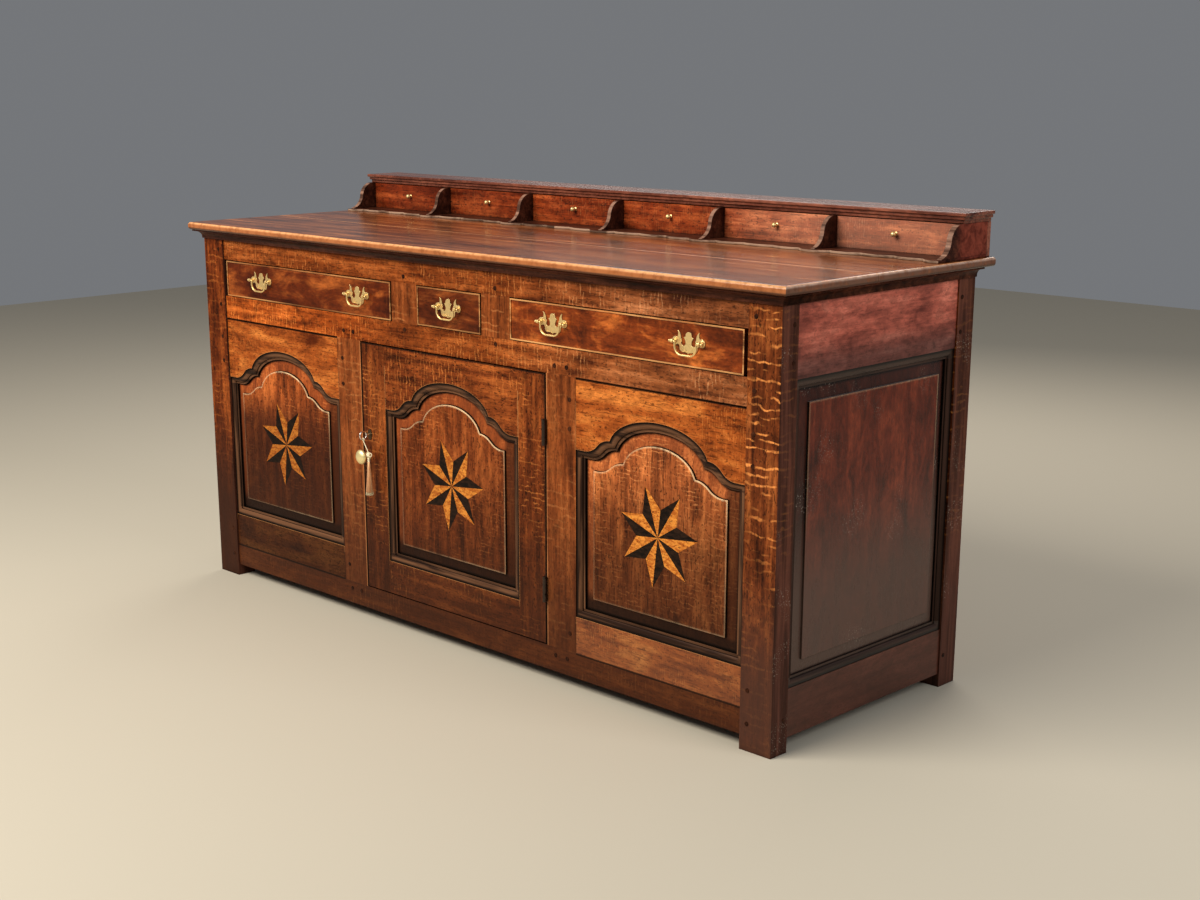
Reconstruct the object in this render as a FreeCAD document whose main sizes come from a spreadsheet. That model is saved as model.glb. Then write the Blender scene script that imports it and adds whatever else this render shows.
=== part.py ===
# Oak dresser base: three drawers, a cupboard door between two fixed panels, a spice-drawer gallery
import FreeCAD
import Part

import math
import os

from FreeCAD import Matrix, Placement, Rotation, Vector

# Driving sizes in millimetres; angles in degrees
SIZES = {
    # Carcase
    "width": 1780,
    "depth": 600,
    "height": 856,
    "front_post_width": 75,
    "front_post_depth": 47,
    "rear_post_width": 60,
    "rear_post_depth": 55,
    "frame_setback": 4,
    "frame_thickness": 26,
    "end_setback": 3,
    "end_thickness": 24,
    "foot_clear": 28,
    "bottom_rail_height": 52,
    "cupboard_height": 568,
    "mid_rail_height": 54,
    "drawer_opening": 87,
    "door_opening": 592,
    "door_muntin": 84,
    "lower_rail_height": 79,
    "arched_rail_shrink": 2.2,
    "drawer_muntin": 85,
    "left_muntin_x": -140,
    "right_muntin_x": 150,
    "end_bottom_rail": 96,
    "end_top_rail": 155,
    "tenon_length": 34,
    "stub_tenon": 26,
    "tenon_thickness": 9,
    "tenon_shoulder": 8,
    "peg_radius": 4.6,
    "peg_proud": 0.8,
    "peg_length": 13,
    "peg_edge": 17,
    # Ogee-arched openings
    "ledge_height": 425,
    "cusp_half": 125,
    "cusp_rise": 30,
    "arch_rise": 53,
    "arch_spring": 13,
    "ogee_run": 68,
    "field_inset": 46,
    "field_ledge_drop": 36.5,
    "field_cusp_in": 33,
    "field_cusp_drop": 41,
    "field_apex_drop": 46.5,
    # Panel moulding, counted from the frame's face and edge
    "moulding_width": 19.5,
    "moulding_depth": 7.5,
    "moulding_fillet": 1.5,
    "moulding_step": 2.5,
    "moulding_band": 14.5,
    "moulding_quirk": 1.2,
    # Fielded panels
    "panel_edge_inset": 3,
    "panel_edge_depth": 14.5,
    "panel_back_depth": 21,
    "bevel_top_depth": 8,
    "field_depth": 3.5,
    "panel_play": 0.3,
    "panel_lip": 2.85,
    # Star inlay
    "star_radius": 102,
    "star_inner": 56,
    "star_turn": 109,
    "star_height": 365,
    "inlay_depth": 1.5,
    # Back, floor and drawer runners
    "back_setback": 4,
    "back_board_thickness": 12,
    "back_rail_thickness": 26,
    "back_mid_rail": 42,
    "board_gap": 0.6,
    "floor_thickness": 16,
    "bearer_section": 20,
    "notch_clear": 1,
    "runner_thickness": 20,
    "runner_width": 40,
    "guide_height": 20,
    # Top and the hollow moulding below it
    "top_thickness": 18,
    "top_overhang": 27,
    "top_joint": 60,
    "nosing_radius": 7,
    "cornice_height": 20,
    "cornice_projection": 20,
    "cornice_fillet": 3.5,
    # Gallery
    "gallery_half": 903,
    "gallery_rear_gap": 2,
    "gallery_base": 5,
    "gallery_height": 69,
    "gallery_lobe_front": 148,
    "gallery_scallop_side": 166,
    "gallery_scallop_mid": 172,
    "gallery_bulge": 8,
    "bracket_front": 160,
    "bracket_shoulder": 226,
    "bracket_tip": 1.6,
    "gallery_end": 12,
    "gallery_divider": 10,
    "gallery_back_thickness": 12,
    "shelf_step": 7,
    "shelf_front": 230,
    "shelf_reach": 4,
    # Spice drawers
    "spice_front": 232,
    "spice_depth": 74,
    "spice_front_thickness": 10,
    "spice_side": 6,
    "spice_bottom": 4,
    "spice_gap": 1.2,
    "spice_lift": 0.3,
    "spice_head": 1.7,
    "spice_knob_radius": 5.6,
    "spice_knob_reach": 14.5,
    "spice_knob_height": 35,
    # Drawers
    "drawer_front_thickness": 20,
    "drawer_gap": 2.5,
    "drawer_outer_gap": 11,
    "drawer_edge_gap": 2,
    "drawer_lift": 0.3,
    "drawer_rear_clear": 44,
    "drawer_side_height": 72,
    "drawer_back_drop": 12,
    "drawer_side": 12,
    "drawer_bottom": 8,
    "drawer_bottom_lift": 6,
    "bead_width": 3,
    "bead_proud": 1.5,
    # Handles
    "handle_spacing": 64,
    "handle_height": 48,
    "left_outer_handle": 140,
    "left_inner_handle": 115,
    "right_inner_handle": 123,
    "right_outer_handle": 131,
    "plate_thickness": 1.6,
    "handle_reach": 10,
    "handle_stem_radius": 2.6,
    "handle_collar_radius": 4.6,
    "handle_collar": 1.5,
    "handle_eye_radius": 3.8,
    "handle_eye_half": 3,
    "bail_radius": 1.9,
    "bail_fit": 0.08,
    "bail_drop": 24.4,
    "bail_bend": 2.6,
    "bail_corner": 16,
    "bail_arm_clear": 0.8,
    "bail_end_reach": 6.6,
    "bail_end_radius": 2.7,
    # Door
    "door_gap": 2.5,
    "door_stile": 79.5,
    "door_bottom_rail": 75,
    "hinge_low": 173,
    "hinge_high": 501,
    "hinge_height": 54,
    "hinge_leaf": 1.1,
    "hinge_leaf_depth": 24,
    "hinge_knuckle_radius": 4.5,
    "hinge_pin_radius": 1.8,
    "hinge_fit": 0.08,
    "hinge_knuckle_gap": 0.3,
    # Lock, key and knob
    "key_x": -271,
    "key_z": 440,
    "bow_radius": 9,
    "bow_wire": 1.6,
    "bow_reach": 20,
    "key_shank_radius": 2.2,
    "keyhole_radius": 2.6,
    "key_tail": 36,
    "key_bit": 9,
    "key_bit_length": 5,
    "key_bit_thickness": 2,
    "escutcheon_width": 14,
    "escutcheon_height": 24,
    "escutcheon_thickness": 1.5,
    "lock_width": 55,
    "lock_height": 70,
    "lock_depth": 16,
    "lock_wall": 2,
    "lock_edge": 2.5,
    "lock_base": 408,
    "bolt_height": 13.5,
    "bolt_thickness": 7.6,
    "bolt_length": 44,
    "bolt_low": 452.5,
    "bolt_clear": 0.3,
    "knob_x": -279,
    "knob_z": 390,
    "knob_width": 25,
    "knob_height": 39,
    "knob_thickness": 14,
    "knob_reach": 29.5,
    "knob_stem_radius": 4.6,
    "knob_rose_radius": 9,
    "knob_rose": 2,
    "spindle_radius": 4,
    "spindle_fit": 0.08,
    "catch_reach": 34,
    "catch_width": 13,
    "catch_thickness": 4,
    "catch_clear": 0.5,
    # Tassel
    "cord_radius": 1,
    "cord_loop_clear": 0.4,
    "cord_end_clear": 0.2,
    "tassel_offset": 17.5,
    "tassel_top": 403.5,
    "tassel_head_radius": 4.4,
    "tassel_neck_radius": 2.4,
    "tassel_skirt_top": 383,
    "tassel_skirt_bottom": 306,
    "tassel_skirt_radius": 9.6,
}

STAR_POINTS = 7
SPICE_DRAWERS = 6
BACK_BOARDS = 6
FLOOR_BOARDS = 3
OVOLO_STEPS = 3
COVE_STEPS = 6

doc = FreeCAD.newDocument("Dresser")
sheet = doc.addObject("Spreadsheet::Sheet", "dim")
for row, (alias, number) in enumerate(SIZES.items(), 1):
    sheet.set(f"A{row}", alias)
    sheet.set(f"B{row}", str(number))
    sheet.setAlias(f"B{row}", alias)
doc.recompute()
probe = doc.addObject("Part::Box", "probe")
nodes = []

# Named places, as expressions over the sheet: X from the middle, Y from the middle, Z from the floor
HALF = "dim.width / 2"
FRONT = "-dim.depth / 2"
REAR = "dim.depth / 2"
FACE = "(dim.frame_setback - dim.depth / 2)"
INNER = "(dim.frame_setback + dim.frame_thickness - dim.depth / 2)"
POST_IN = "(dim.width / 2 - dim.front_post_width)"
POST_BACK = "(dim.front_post_depth - dim.depth / 2)"
REAR_POST_IN = "(dim.width / 2 - dim.rear_post_width)"
REAR_POST_FRONT = "(dim.depth / 2 - dim.rear_post_depth)"
END_FACE = "(dim.width / 2 - dim.end_setback)"
END_INNER = "(dim.width / 2 - dim.end_setback - dim.end_thickness)"
BACK_FACE = "(dim.depth / 2 - dim.back_setback)"
BACK_INNER = "(dim.depth / 2 - dim.back_setback - dim.back_board_thickness)"
BACK_RAIL = f"({BACK_INNER} - dim.back_rail_thickness)"
Z_FLOOR = "(dim.foot_clear + dim.bottom_rail_height)"
Z_MID = f"({Z_FLOOR} + dim.cupboard_height)"
Z_DRAWER = f"({Z_MID} + dim.mid_rail_height)"
Z_RAIL = f"({Z_DRAWER} + dim.drawer_opening)"
Z_TOP = "dim.height"
Z_WORKTOP = "(dim.height + dim.top_thickness)"
Z_PANEL = f"({Z_FLOOR} + dim.lower_rail_height)"
Z_LEDGE = f"({Z_FLOOR} + dim.ledge_height)"
Z_LEDGE_SIGHT = f"({Z_LEDGE} - dim.field_ledge_drop * dim.moulding_width / dim.field_inset)"
Z_END_LOW = "(dim.foot_clear + dim.end_bottom_rail)"
Z_END_HIGH = "(dim.height - dim.end_top_rail)"
DOOR_HALF = "dim.door_opening / 2"
PANEL_IN = "(dim.door_opening / 2 + dim.door_muntin)"
SIGHT = "dim.moulding_width"
SIDES = ((-1, "left"), (1, "right"))


def value(expression):
    """The number that an expression over the sheet gives."""
    return float(probe.evalExpression(expression))


def size(alias):
    """One driving size."""
    return value(f"dim.{alias}")


def mirrored(sign, near, far):
    """Start and end along X of a span between two distances from the middle, on one side."""
    if sign > 0:
        return near, far
    return f"-({far})", f"-({near})"


def around(middle, width):
    """Start and end of a span of one width about its middle."""
    return f"({middle}) - ({width}) / 2", f"({middle}) + ({width}) / 2"


def board(name, x, y, z):
    """A rectangular piece between its starts and ends along the three axes."""
    box = doc.addObject("Part::Box", name)
    for axis, (start, end), length in (("x", x, "Length"), ("y", y, "Width"), ("z", z, "Height")):
        box.setExpression(length, f"({end}) - ({start})")
        box.setExpression(f"Placement.Base.{axis}", start)
    return box


def rod(name, radius, length, base, direction):
    """A round piece of one radius from a base point along a direction."""
    cylinder = doc.addObject("Part::Cylinder", name)
    cylinder.Placement = Placement(Vector(), Rotation(Vector(0, 0, 1), Vector(*direction)))
    cylinder.setExpression("Radius", radius)
    cylinder.setExpression("Height", length)
    for axis, place in zip("xyz", base):
        cylinder.setExpression(f"Placement.Base.{axis}", place)
    return cylinder


def formed(name, shape):
    """A piece whose form is worked out from the sheet."""
    feature = doc.addObject("Part::Feature", name)
    feature.Shape = shape
    return feature


def group(name, items):
    """Several solids kept side by side."""
    compound = doc.addObject("Part::Compound", name)
    compound.Links = list(items)
    return compound


def joined(name, items):
    """Several solids made into one."""
    fusion = doc.addObject("Part::MultiFuse", name)
    fusion.Shapes = list(items)
    fusion.Refine = True
    return fusion


def carved(name, base, *tools):
    """A piece with tools cut from it one after another; a list of tools is cut at once."""
    result = base
    for count, tool in enumerate(tools):
        if isinstance(tool, list):
            tool = group(f"{name}_tools_{count}", tool)
        cut = doc.addObject("Part::Cut", f"{name}_cut_{count}")
        cut.Base = result
        cut.Tool = tool
        result = cut
    return result


def node(name, items):
    """Names a finished sub-part that is written to its own file."""
    sub_part = group(name, items)
    sub_part.Label = name
    nodes.append(sub_part)
    return sub_part


def tenoned(name, x, y, z, along, length):
    """A rail or muntin with a tenon at each end; gives the whole piece and its two tenons."""
    spans = {"x": x, "y": y, "z": z}
    start, end = spans[along]
    thin = "x" if along == "y" else "y"
    broad = "x" if along == "z" else "z"
    tenons = []
    for mark, reach in (("a", (f"({start}) - {length}", start)), ("b", (end, f"({end}) + {length}"))):
        low, high = spans[broad]
        near, far = spans[thin]
        tenon = {
            along: reach,
            thin: around(f"(({near}) + ({far})) / 2", "dim.tenon_thickness"),
            broad: (f"({low}) + dim.tenon_shoulder", f"({high}) - dim.tenon_shoulder"),
        }
        tenons.append(board(f"{name}_tenon_{mark}", tenon["x"], tenon["y"], tenon["z"]))
    body = board(f"{name}_body", x, y, z)
    return joined(name, [body] + tenons), tenons


def arc(first, middle, last):
    """An edge along the circle through three points."""
    return Part.Arc(first, middle, last).toShape()


def turned(profile, base, direction):
    """A lathe-turned solid from radius and height pairs; a triple holds an arc's middle point too."""
    edges = []
    for before, after in zip(profile, profile[1:]):
        first = Vector(before[0], 0, before[1])
        last = Vector(after[0], 0, after[1])
        if len(after) == 4:
            edges.append(arc(first, Vector(after[2], 0, after[3]), last))
        else:
            edges.append(Part.makeLine(first, last))
    edges.append(Part.makeLine(edges[-1].Vertexes[-1].Point, Vector(profile[0][0], 0, profile[0][1])))
    face = Part.Face(Part.Wire(Part.__sortEdges__(edges)))
    solid = face.revolve(Vector(), Vector(0, 0, 1), 360)
    solid.Placement = Placement(base, Rotation(Vector(0, 0, 1), direction))
    return solid


# Framed openings: an outline at any inset from the frame's edge, at any depth behind its face
def ogee(at, start, end):
    """Two arcs that make an S from one level line to another."""
    run = (end[0] - start[0]) / 2
    rise = (end[1] - start[1]) / 2
    radius = (run ** 2 + rise ** 2) / (2 * abs(rise))
    half_turn = math.asin(abs(run) / radius) / 2
    across = math.copysign(radius * math.sin(half_turn), run)
    up = math.copysign(radius * (1 - math.cos(half_turn)), rise)
    middle = at(start[0] + run, start[1] + rise)
    lower = arc(at(*start), at(start[0] + across, start[1] + up), middle)
    upper = arc(middle, at(end[0] - across, end[1] - up), at(*end))
    return [lower, upper]


def arched_outline(at, centre, half, bottom, inset):
    """Straight sides, level ledges, an S up to each cusp and an elliptical arch between the cusps."""
    share = inset / size("field_inset")
    left = centre - half + inset
    right = centre + half - inset
    low = bottom + inset
    ledge = value(Z_LEDGE) - share * size("field_ledge_drop")
    cusp_u = size("cusp_half") - share * size("field_cusp_in")
    cusp_v = value(Z_LEDGE) + size("cusp_rise") - share * size("field_cusp_drop")
    apex = value(Z_LEDGE) + size("cusp_rise") + size("arch_rise") - share * size("field_apex_drop")
    spring = cusp_v - size("arch_spring")
    lift = (cusp_v - spring) / (apex - spring)
    wide = cusp_u / math.sqrt(1 - lift ** 2)
    turn = math.asin(lift)
    shoulder = cusp_u + size("ogee_run")
    ellipse = Part.Ellipse(at(centre + wide, spring), at(centre, apex), at(centre, spring))
    edges = [
        Part.makeLine(at(left, low), at(right, low)),
        Part.makeLine(at(right, low), at(right, ledge)),
        Part.makeLine(at(right, ledge), at(centre + shoulder, ledge)),
    ]
    edges += ogee(at, (centre + shoulder, ledge), (centre + cusp_u, cusp_v))
    edges.append(Part.Edge(ellipse, turn, math.pi - turn))
    edges += ogee(at, (centre - cusp_u, cusp_v), (centre - shoulder, ledge))
    edges.append(Part.makeLine(at(centre - shoulder, ledge), at(left, ledge)))
    edges.append(Part.makeLine(at(left, ledge), at(left, low)))
    return Part.Wire(edges)


def plain_outline(at, left, right, low, high, inset):
    """A rectangle drawn in from its frame on all four sides."""
    corners = (
        at(left + inset, low + inset),
        at(right - inset, low + inset),
        at(right - inset, high - inset),
        at(left + inset, high - inset),
    )
    return Part.makePolygon(corners + corners[:1])


class Opening:
    """A framed opening with its moulding and its fielded panel."""

    def __init__(self, place, outline, thickness):
        self.place = place
        self.outline = outline
        self.thickness = thickness

    def wire(self, inset, depth):
        return self.outline(lambda u, v: self.place(u, v, depth), inset)

    def layer(self, first, last):
        return Part.makeLoft([self.wire(*first), self.wire(*last)], True, True)

    def cutter(self):
        """The tool that leaves an ovolo between two fillets, and the panel groove, in the frame."""
        width = size("moulding_width")
        depth = size("moulding_depth")
        step = size("moulding_step")
        fillet = size("moulding_fillet")
        band = size("moulding_band")
        foot = depth - size("moulding_quirk")
        profile = [(step, fillet)]
        for count in range(1, OVOLO_STEPS + 1):
            angle = math.pi / 2 * count / OVOLO_STEPS
            inset = step + (band - step) * math.sin(angle)
            profile.append((inset, fillet + (foot - fillet) * (1 - math.cos(angle))))
        profile.append((band, depth))
        layers = [self.layer((0, -fillet), (0, fillet))]
        layers += [self.layer(first, last) for first, last in zip(profile, profile[1:])]
        layers.append(self.layer((width, depth), (width, self.thickness + fillet)))
        play = size("panel_play")
        edge = size("panel_edge_inset") - play
        front = size("panel_edge_depth") - size("panel_lip")
        layers.append(self.layer((edge, front), (edge, size("panel_back_depth") + play)))
        return layers[0].multiFuse(layers[1:]).removeSplitter()

    def panel(self):
        """A panel with a thin edge, a broad bevel and a raised field."""
        edge = size("panel_edge_inset")
        edge_depth = size("panel_edge_depth")
        field = size("field_inset")
        back = self.layer((edge, edge_depth), (edge, size("panel_back_depth")))
        bevel = self.layer((field, size("bevel_top_depth")), (edge, edge_depth))
        raised = self.layer((field, size("field_depth")), (field, size("bevel_top_depth")))
        return back.multiFuse([bevel, raised]).removeSplitter()


def front_place(u, v, depth):
    return Vector(u, value(FACE) + depth, v)


def end_place(sign):
    return lambda u, v, depth: Vector(sign * (value(END_FACE) - depth), u, v)


def arched_opening(centre, half, bottom):
    outline = lambda at, inset: arched_outline(at, centre, half, bottom, inset)
    return Opening(front_place, outline, size("frame_thickness"))


def end_opening(sign):
    left = value(POST_BACK)
    right = value(REAR_POST_FRONT)
    low = value(Z_END_LOW)
    high = value(Z_END_HIGH)
    outline = lambda at, inset: plain_outline(at, left, right, low, high, inset)
    return Opening(end_place(sign), outline, size("end_thickness"))


def star_halves(centre):
    """The dark and the light halves of a star's points, let into the field of one panel."""
    depth = size("field_depth")
    sink = Vector(0, size("inlay_depth"), 0)
    middle = front_place(centre, size("star_height"), depth)
    step = 2 * math.pi / STAR_POINTS

    def corner(radius, angle):
        across = centre + radius * math.cos(angle)
        return front_place(across, size("star_height") + radius * math.sin(angle), depth)

    dark = []
    light = []
    for count in range(STAR_POINTS):
        angle = math.radians(size("star_turn")) + count * step
        tip = corner(size("star_radius"), angle)
        for halves, side in ((dark, 0.5), (light, -0.5)):
            valley = corner(size("star_inner"), angle + side * step)
            face = Part.Face(Part.makePolygon([middle, tip, valley, middle]))
            halves.append(face.extrude(sink))
    return Part.makeCompound(dark), Part.makeCompound(light)


def starred_panel(name, opening, centre):
    """A fielded panel with the recess for its star, and the star's dark and light pieces."""
    dark_shape, light_shape = star_halves(centre)
    dark = formed(f"{name}_dark", dark_shape)
    light = formed(f"{name}_light", light_shape)
    blank = formed(f"{name}_blank", opening.panel())
    return carved(name, blank, dark, light), dark, light


# Front frame: rails between the posts, muntins between the rails
def front_rail(name, low, high):
    span = (f"-({POST_IN})", POST_IN)
    return tenoned(name, span, (FACE, INNER), (low, high), "x", "dim.tenon_length")


bottom_rail, bottom_tenons = front_rail("bottom_rail", "dim.foot_clear", Z_FLOOR)
mid_rail, mid_tenons = front_rail("mid_rail", Z_MID, Z_DRAWER)
top_rail, top_tenons = front_rail("top_rail", Z_RAIL, Z_TOP)
post_tenons = {"left": [], "right": []}
for tenons in (bottom_tenons, mid_tenons, top_tenons):
    post_tenons["left"].append(tenons[0])
    post_tenons["right"].append(tenons[1])

drawer_muntins = []
low_tenons = []
mid_top_tenons = []
mid_low_tenons = []
high_tenons = []
for name, middle in (("left", "dim.left_muntin_x"), ("right", "dim.right_muntin_x")):
    span = around(middle, "dim.drawer_muntin")
    muntin, ends = tenoned(
        f"{name}_drawer_muntin", span, (FACE, INNER), (Z_DRAWER, Z_RAIL), "z", "dim.stub_tenon")
    drawer_muntins.append(muntin)
    mid_top_tenons.append(ends[0])
    high_tenons.append(ends[1])

panel_half = (value(POST_IN) - value(PANEL_IN)) / 2
panel_centre = (value(POST_IN) + value(PANEL_IN)) / 2
arched_rails = []
lower_rails = []
door_muntins = []
fixed_panels = []
dark_stars = []
light_stars = []
front_cutters = {}
for sign, side in SIDES:
    opening = arched_opening(sign * panel_centre, panel_half, value(Z_PANEL))
    cutter = formed(f"{side}_panel_cutter", opening.cutter())
    front_cutters[side] = cutter
    span = mirrored(sign, PANEL_IN, POST_IN)
    inner_end = 0 if sign > 0 else 1
    arched, arched_ends = tenoned(
        f"{side}_arched_rail", span, (FACE, INNER),
        (Z_LEDGE_SIGHT, f"{Z_MID} - dim.arched_rail_shrink"), "x", "dim.stub_tenon")
    lower, lower_ends = tenoned(
        f"{side}_lower_rail", span, (FACE, INNER), (Z_FLOOR, f"{Z_PANEL} + {SIGHT}"), "x",
        "dim.stub_tenon")
    arched_rails.append(carved(f"{side}_arched_moulded", arched, cutter))
    lower_rails.append(carved(f"{side}_lower_moulded", lower, cutter))
    post_tenons[side] += [arched_ends[1 - inner_end], lower_ends[1 - inner_end]]
    stile, stile_ends = tenoned(
        f"{side}_door_muntin", mirrored(sign, DOOR_HALF, PANEL_IN), (FACE, INNER), (Z_FLOOR, Z_MID),
        "z", "dim.stub_tenon")
    strip = board(
        f"{side}_muntin_strip", mirrored(sign, PANEL_IN, f"{PANEL_IN} + {SIGHT}"), (FACE, INNER),
        (f"{Z_PANEL} + {SIGHT}", Z_LEDGE_SIGHT))
    whole = joined(f"{side}_muntin_whole", [stile, strip])
    mortises = [arched_ends[inner_end], lower_ends[inner_end]]
    door_muntins.append(carved(f"{side}_muntin", whole, cutter, mortises))
    low_tenons.append(stile_ends[0])
    mid_low_tenons.append(stile_ends[1])
    panel, dark, light = starred_panel(f"{side}_panel", opening, sign * panel_centre)
    fixed_panels.append(panel)
    dark_stars.append(dark)
    light_stars.append(light)

# Ends: two rails and a fielded panel each, between the posts
end_rails = []
end_panels = []
end_cutters = {}
front_end_tenons = {}
rear_end_tenons = {}
for sign, side in SIDES:
    opening = end_opening(sign)
    cutter = formed(f"{side}_end_cutter", opening.cutter())
    end_cutters[side] = cutter
    thick = mirrored(sign, END_INNER, END_FACE)
    span = (POST_BACK, REAR_POST_FRONT)
    low, low_ends = tenoned(
        f"{side}_end_low", thick, span, ("dim.foot_clear", f"{Z_END_LOW} + {SIGHT}"), "y",
        "dim.tenon_length")
    high, high_ends = tenoned(
        f"{side}_end_high", thick, span, (f"{Z_END_HIGH} - {SIGHT}", Z_TOP), "y", "dim.tenon_length")
    end_rails += [carved(f"{side}_end_low_moulded", low, cutter)]
    end_rails += [carved(f"{side}_end_high_moulded", high, cutter)]
    end_panels.append(formed(f"{side}_end_panel", opening.panel()))
    front_end_tenons[side] = [low_ends[0], high_ends[0]]
    rear_end_tenons[side] = [low_ends[1], high_ends[1]]

# Back: three rails between the rear posts, upright boards behind them
back_rails = []
rear_tenons = {"left": [], "right": []}
for name, low, high in (
        ("bottom", "dim.foot_clear", Z_FLOOR),
        ("mid", f"{Z_DRAWER} - dim.back_mid_rail", Z_DRAWER),
        ("top", Z_RAIL, Z_TOP)):
    span = (f"-({REAR_POST_IN})", REAR_POST_IN)
    rail, ends = tenoned(
        f"back_{name}_rail", span, (BACK_RAIL, BACK_INNER), (low, high), "x", "dim.tenon_length")
    back_rails.append(rail)
    rear_tenons["left"].append(ends[0])
    rear_tenons["right"].append(ends[1])
back_boards = []
board_pitch = f"(2 * {REAR_POST_IN} / {BACK_BOARDS})"
for count in range(BACK_BOARDS):
    start = f"-({REAR_POST_IN}) + {count} * {board_pitch}"
    span = (f"{start} + dim.board_gap / 2", f"{start} + {board_pitch} - dim.board_gap / 2")
    upright = ("dim.foot_clear", Z_TOP)
    back_boards.append(board(f"back_board_{count + 1}", span, (BACK_INNER, BACK_FACE), upright))


# Pegs through the front joints and through the end joints
def front_peg(name, x, z, face):
    base = (x, f"({face}) - dim.peg_proud", z)
    return rod(name, "dim.peg_radius", "dim.peg_length", base, (0, 1, 0))


def end_peg(name, sign, y, z):
    base = (f"{sign} * (dim.width / 2 + dim.peg_proud)", y, z)
    return rod(name, "dim.peg_radius", "dim.peg_length", base, (-sign, 0, 0))


post_peg_heights = (
    f"({Z_RAIL} + {Z_TOP} - dim.cornice_height) / 2",
    f"{Z_MID} + dim.mid_rail_height * 0.6",
    f"{Z_LEDGE_SIGHT} + ({Z_MID} - {Z_LEDGE_SIGHT}) * 0.71",
    f"{Z_LEDGE_SIGHT} + ({Z_MID} - {Z_LEDGE_SIGHT}) * 0.34",
    f"({Z_FLOOR} + {Z_PANEL}) / 2",
    f"(dim.foot_clear + {Z_FLOOR}) / 2",
)
end_peg_heights = (
    f"{Z_END_HIGH} + dim.end_top_rail * 0.2",
    f"{Z_END_HIGH} + dim.end_top_rail * 0.64",
    "dim.foot_clear + dim.end_bottom_rail * 0.4",
)
post_pegs = {}
rear_pegs = {}
rail_pegs = []
muntin_pegs = {}
for sign, side in SIDES:
    post_x = f"{sign} * ({POST_IN} + dim.peg_edge)"
    post_pegs[side] = [
        front_peg(f"{side}_post_peg_{count}", post_x, height, FRONT)
        for count, height in enumerate(post_peg_heights)]
    front_y = f"{POST_BACK} - dim.peg_edge * 0.7"
    rear_y = f"{REAR_POST_FRONT} + dim.peg_edge * 0.7"
    end_front = [
        end_peg(f"{side}_end_peg_front_{count}", sign, front_y, height)
        for count, height in enumerate(end_peg_heights)]
    rear_pegs[side] = [
        end_peg(f"{side}_end_peg_rear_{count}", sign, rear_y, height)
        for count, height in enumerate(end_peg_heights)]
    post_pegs[side] += end_front
    muntin_middle = f"({DOOR_HALF} + {PANEL_IN}) / 2"
    for count, offset in enumerate(("-dim.peg_edge", "dim.peg_edge")):
        across = f"{sign} * ({muntin_middle} + {offset})"
        rail_pegs.append(front_peg(f"{side}_mid_peg_{count}", across, f"{Z_MID} + dim.peg_edge", FACE))
        rail_pegs.append(front_peg(f"{side}_low_peg_{count}", across, f"{Z_FLOOR} - dim.peg_edge", FACE))
    lift = f"{Z_DRAWER} - dim.peg_edge * 0.8"
    rail_pegs.append(front_peg(f"{side}_drawer_peg_low", f"dim.{side}_muntin_x", lift, FACE))
    lift = f"{Z_RAIL} + dim.peg_edge * 0.8"
    rail_pegs.append(front_peg(f"{side}_drawer_peg_high", f"dim.{side}_muntin_x", lift, FACE))
    muntin_x = f"{sign} * ({PANEL_IN} - dim.peg_edge)"
    muntin_pegs[side] = [
        front_peg(f"{side}_muntin_peg_{count}", muntin_x, post_peg_heights[count], FACE)
        for count in (2, 3, 4)]

# Posts: moulded strips toward the panels, mortises for every rail, holes for the pegs
posts = []
for sign, side in SIDES:
    post = board(
        f"{side}_front_post", mirrored(sign, POST_IN, HALF), (FRONT, POST_BACK), ("0", Z_TOP))
    strip = board(
        f"{side}_post_strip", mirrored(sign, f"{POST_IN} - {SIGHT}", POST_IN), (FACE, INNER),
        (f"{Z_PANEL} + {SIGHT}", Z_LEDGE_SIGHT))
    upright = (f"{Z_END_LOW} + {SIGHT}", f"{Z_END_HIGH} - {SIGHT}")
    thick = mirrored(sign, END_INNER, END_FACE)
    end_strip = board(f"{side}_post_end_strip", thick, (POST_BACK, f"{POST_BACK} + {SIGHT}"), upright)
    whole = joined(f"{side}_front_post_whole", [post, strip, end_strip])
    mortises = post_tenons[side] + front_end_tenons[side]
    posts.append(carved(
        f"{side}_front_post_made", whole, front_cutters[side], end_cutters[side], mortises,
        post_pegs[side]))
    rear = board(
        f"{side}_rear_post", mirrored(sign, REAR_POST_IN, HALF), (REAR_POST_FRONT, REAR), ("0", Z_TOP))
    rear_strip = board(
        f"{side}_rear_strip", thick, (f"{REAR_POST_FRONT} - {SIGHT}", REAR_POST_FRONT), upright)
    whole = joined(f"{side}_rear_post_whole", [rear, rear_strip])
    mortises = rear_tenons[side] + rear_end_tenons[side]
    posts.append(carved(
        f"{side}_rear_post_made", whole, end_cutters[side], mortises, rear_pegs[side]))

all_post_pegs = post_pegs["left"] + post_pegs["right"]
all_rear_pegs = rear_pegs["left"] + rear_pegs["right"]
all_muntin_pegs = muntin_pegs["left"] + muntin_pegs["right"]
node("corner_posts", posts)
node("front_rails", [
    carved("bottom_rail_made", bottom_rail, low_tenons, rail_pegs, all_post_pegs),
    carved("mid_rail_made", mid_rail, mid_low_tenons, mid_top_tenons, rail_pegs, all_post_pegs),
    carved("top_rail_made", top_rail, high_tenons, rail_pegs, all_post_pegs),
])
node("front_muntins", [
    carved(f"{muntin.Name}_pegged", muntin, rail_pegs, all_muntin_pegs)
    for muntin in door_muntins + drawer_muntins])
node("panel_rails", [
    carved(f"{rail.Name}_pegged", rail, all_post_pegs, all_muntin_pegs)
    for rail in arched_rails + lower_rails])
node("end_rails", [
    carved(f"{rail.Name}_pegged", rail, all_post_pegs, all_rear_pegs) for rail in end_rails])
node("fixed_panels", fixed_panels)
node("fixed_stars_dark", dark_stars)
node("fixed_stars_light", light_stars)
node("end_panels", end_panels)
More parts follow.
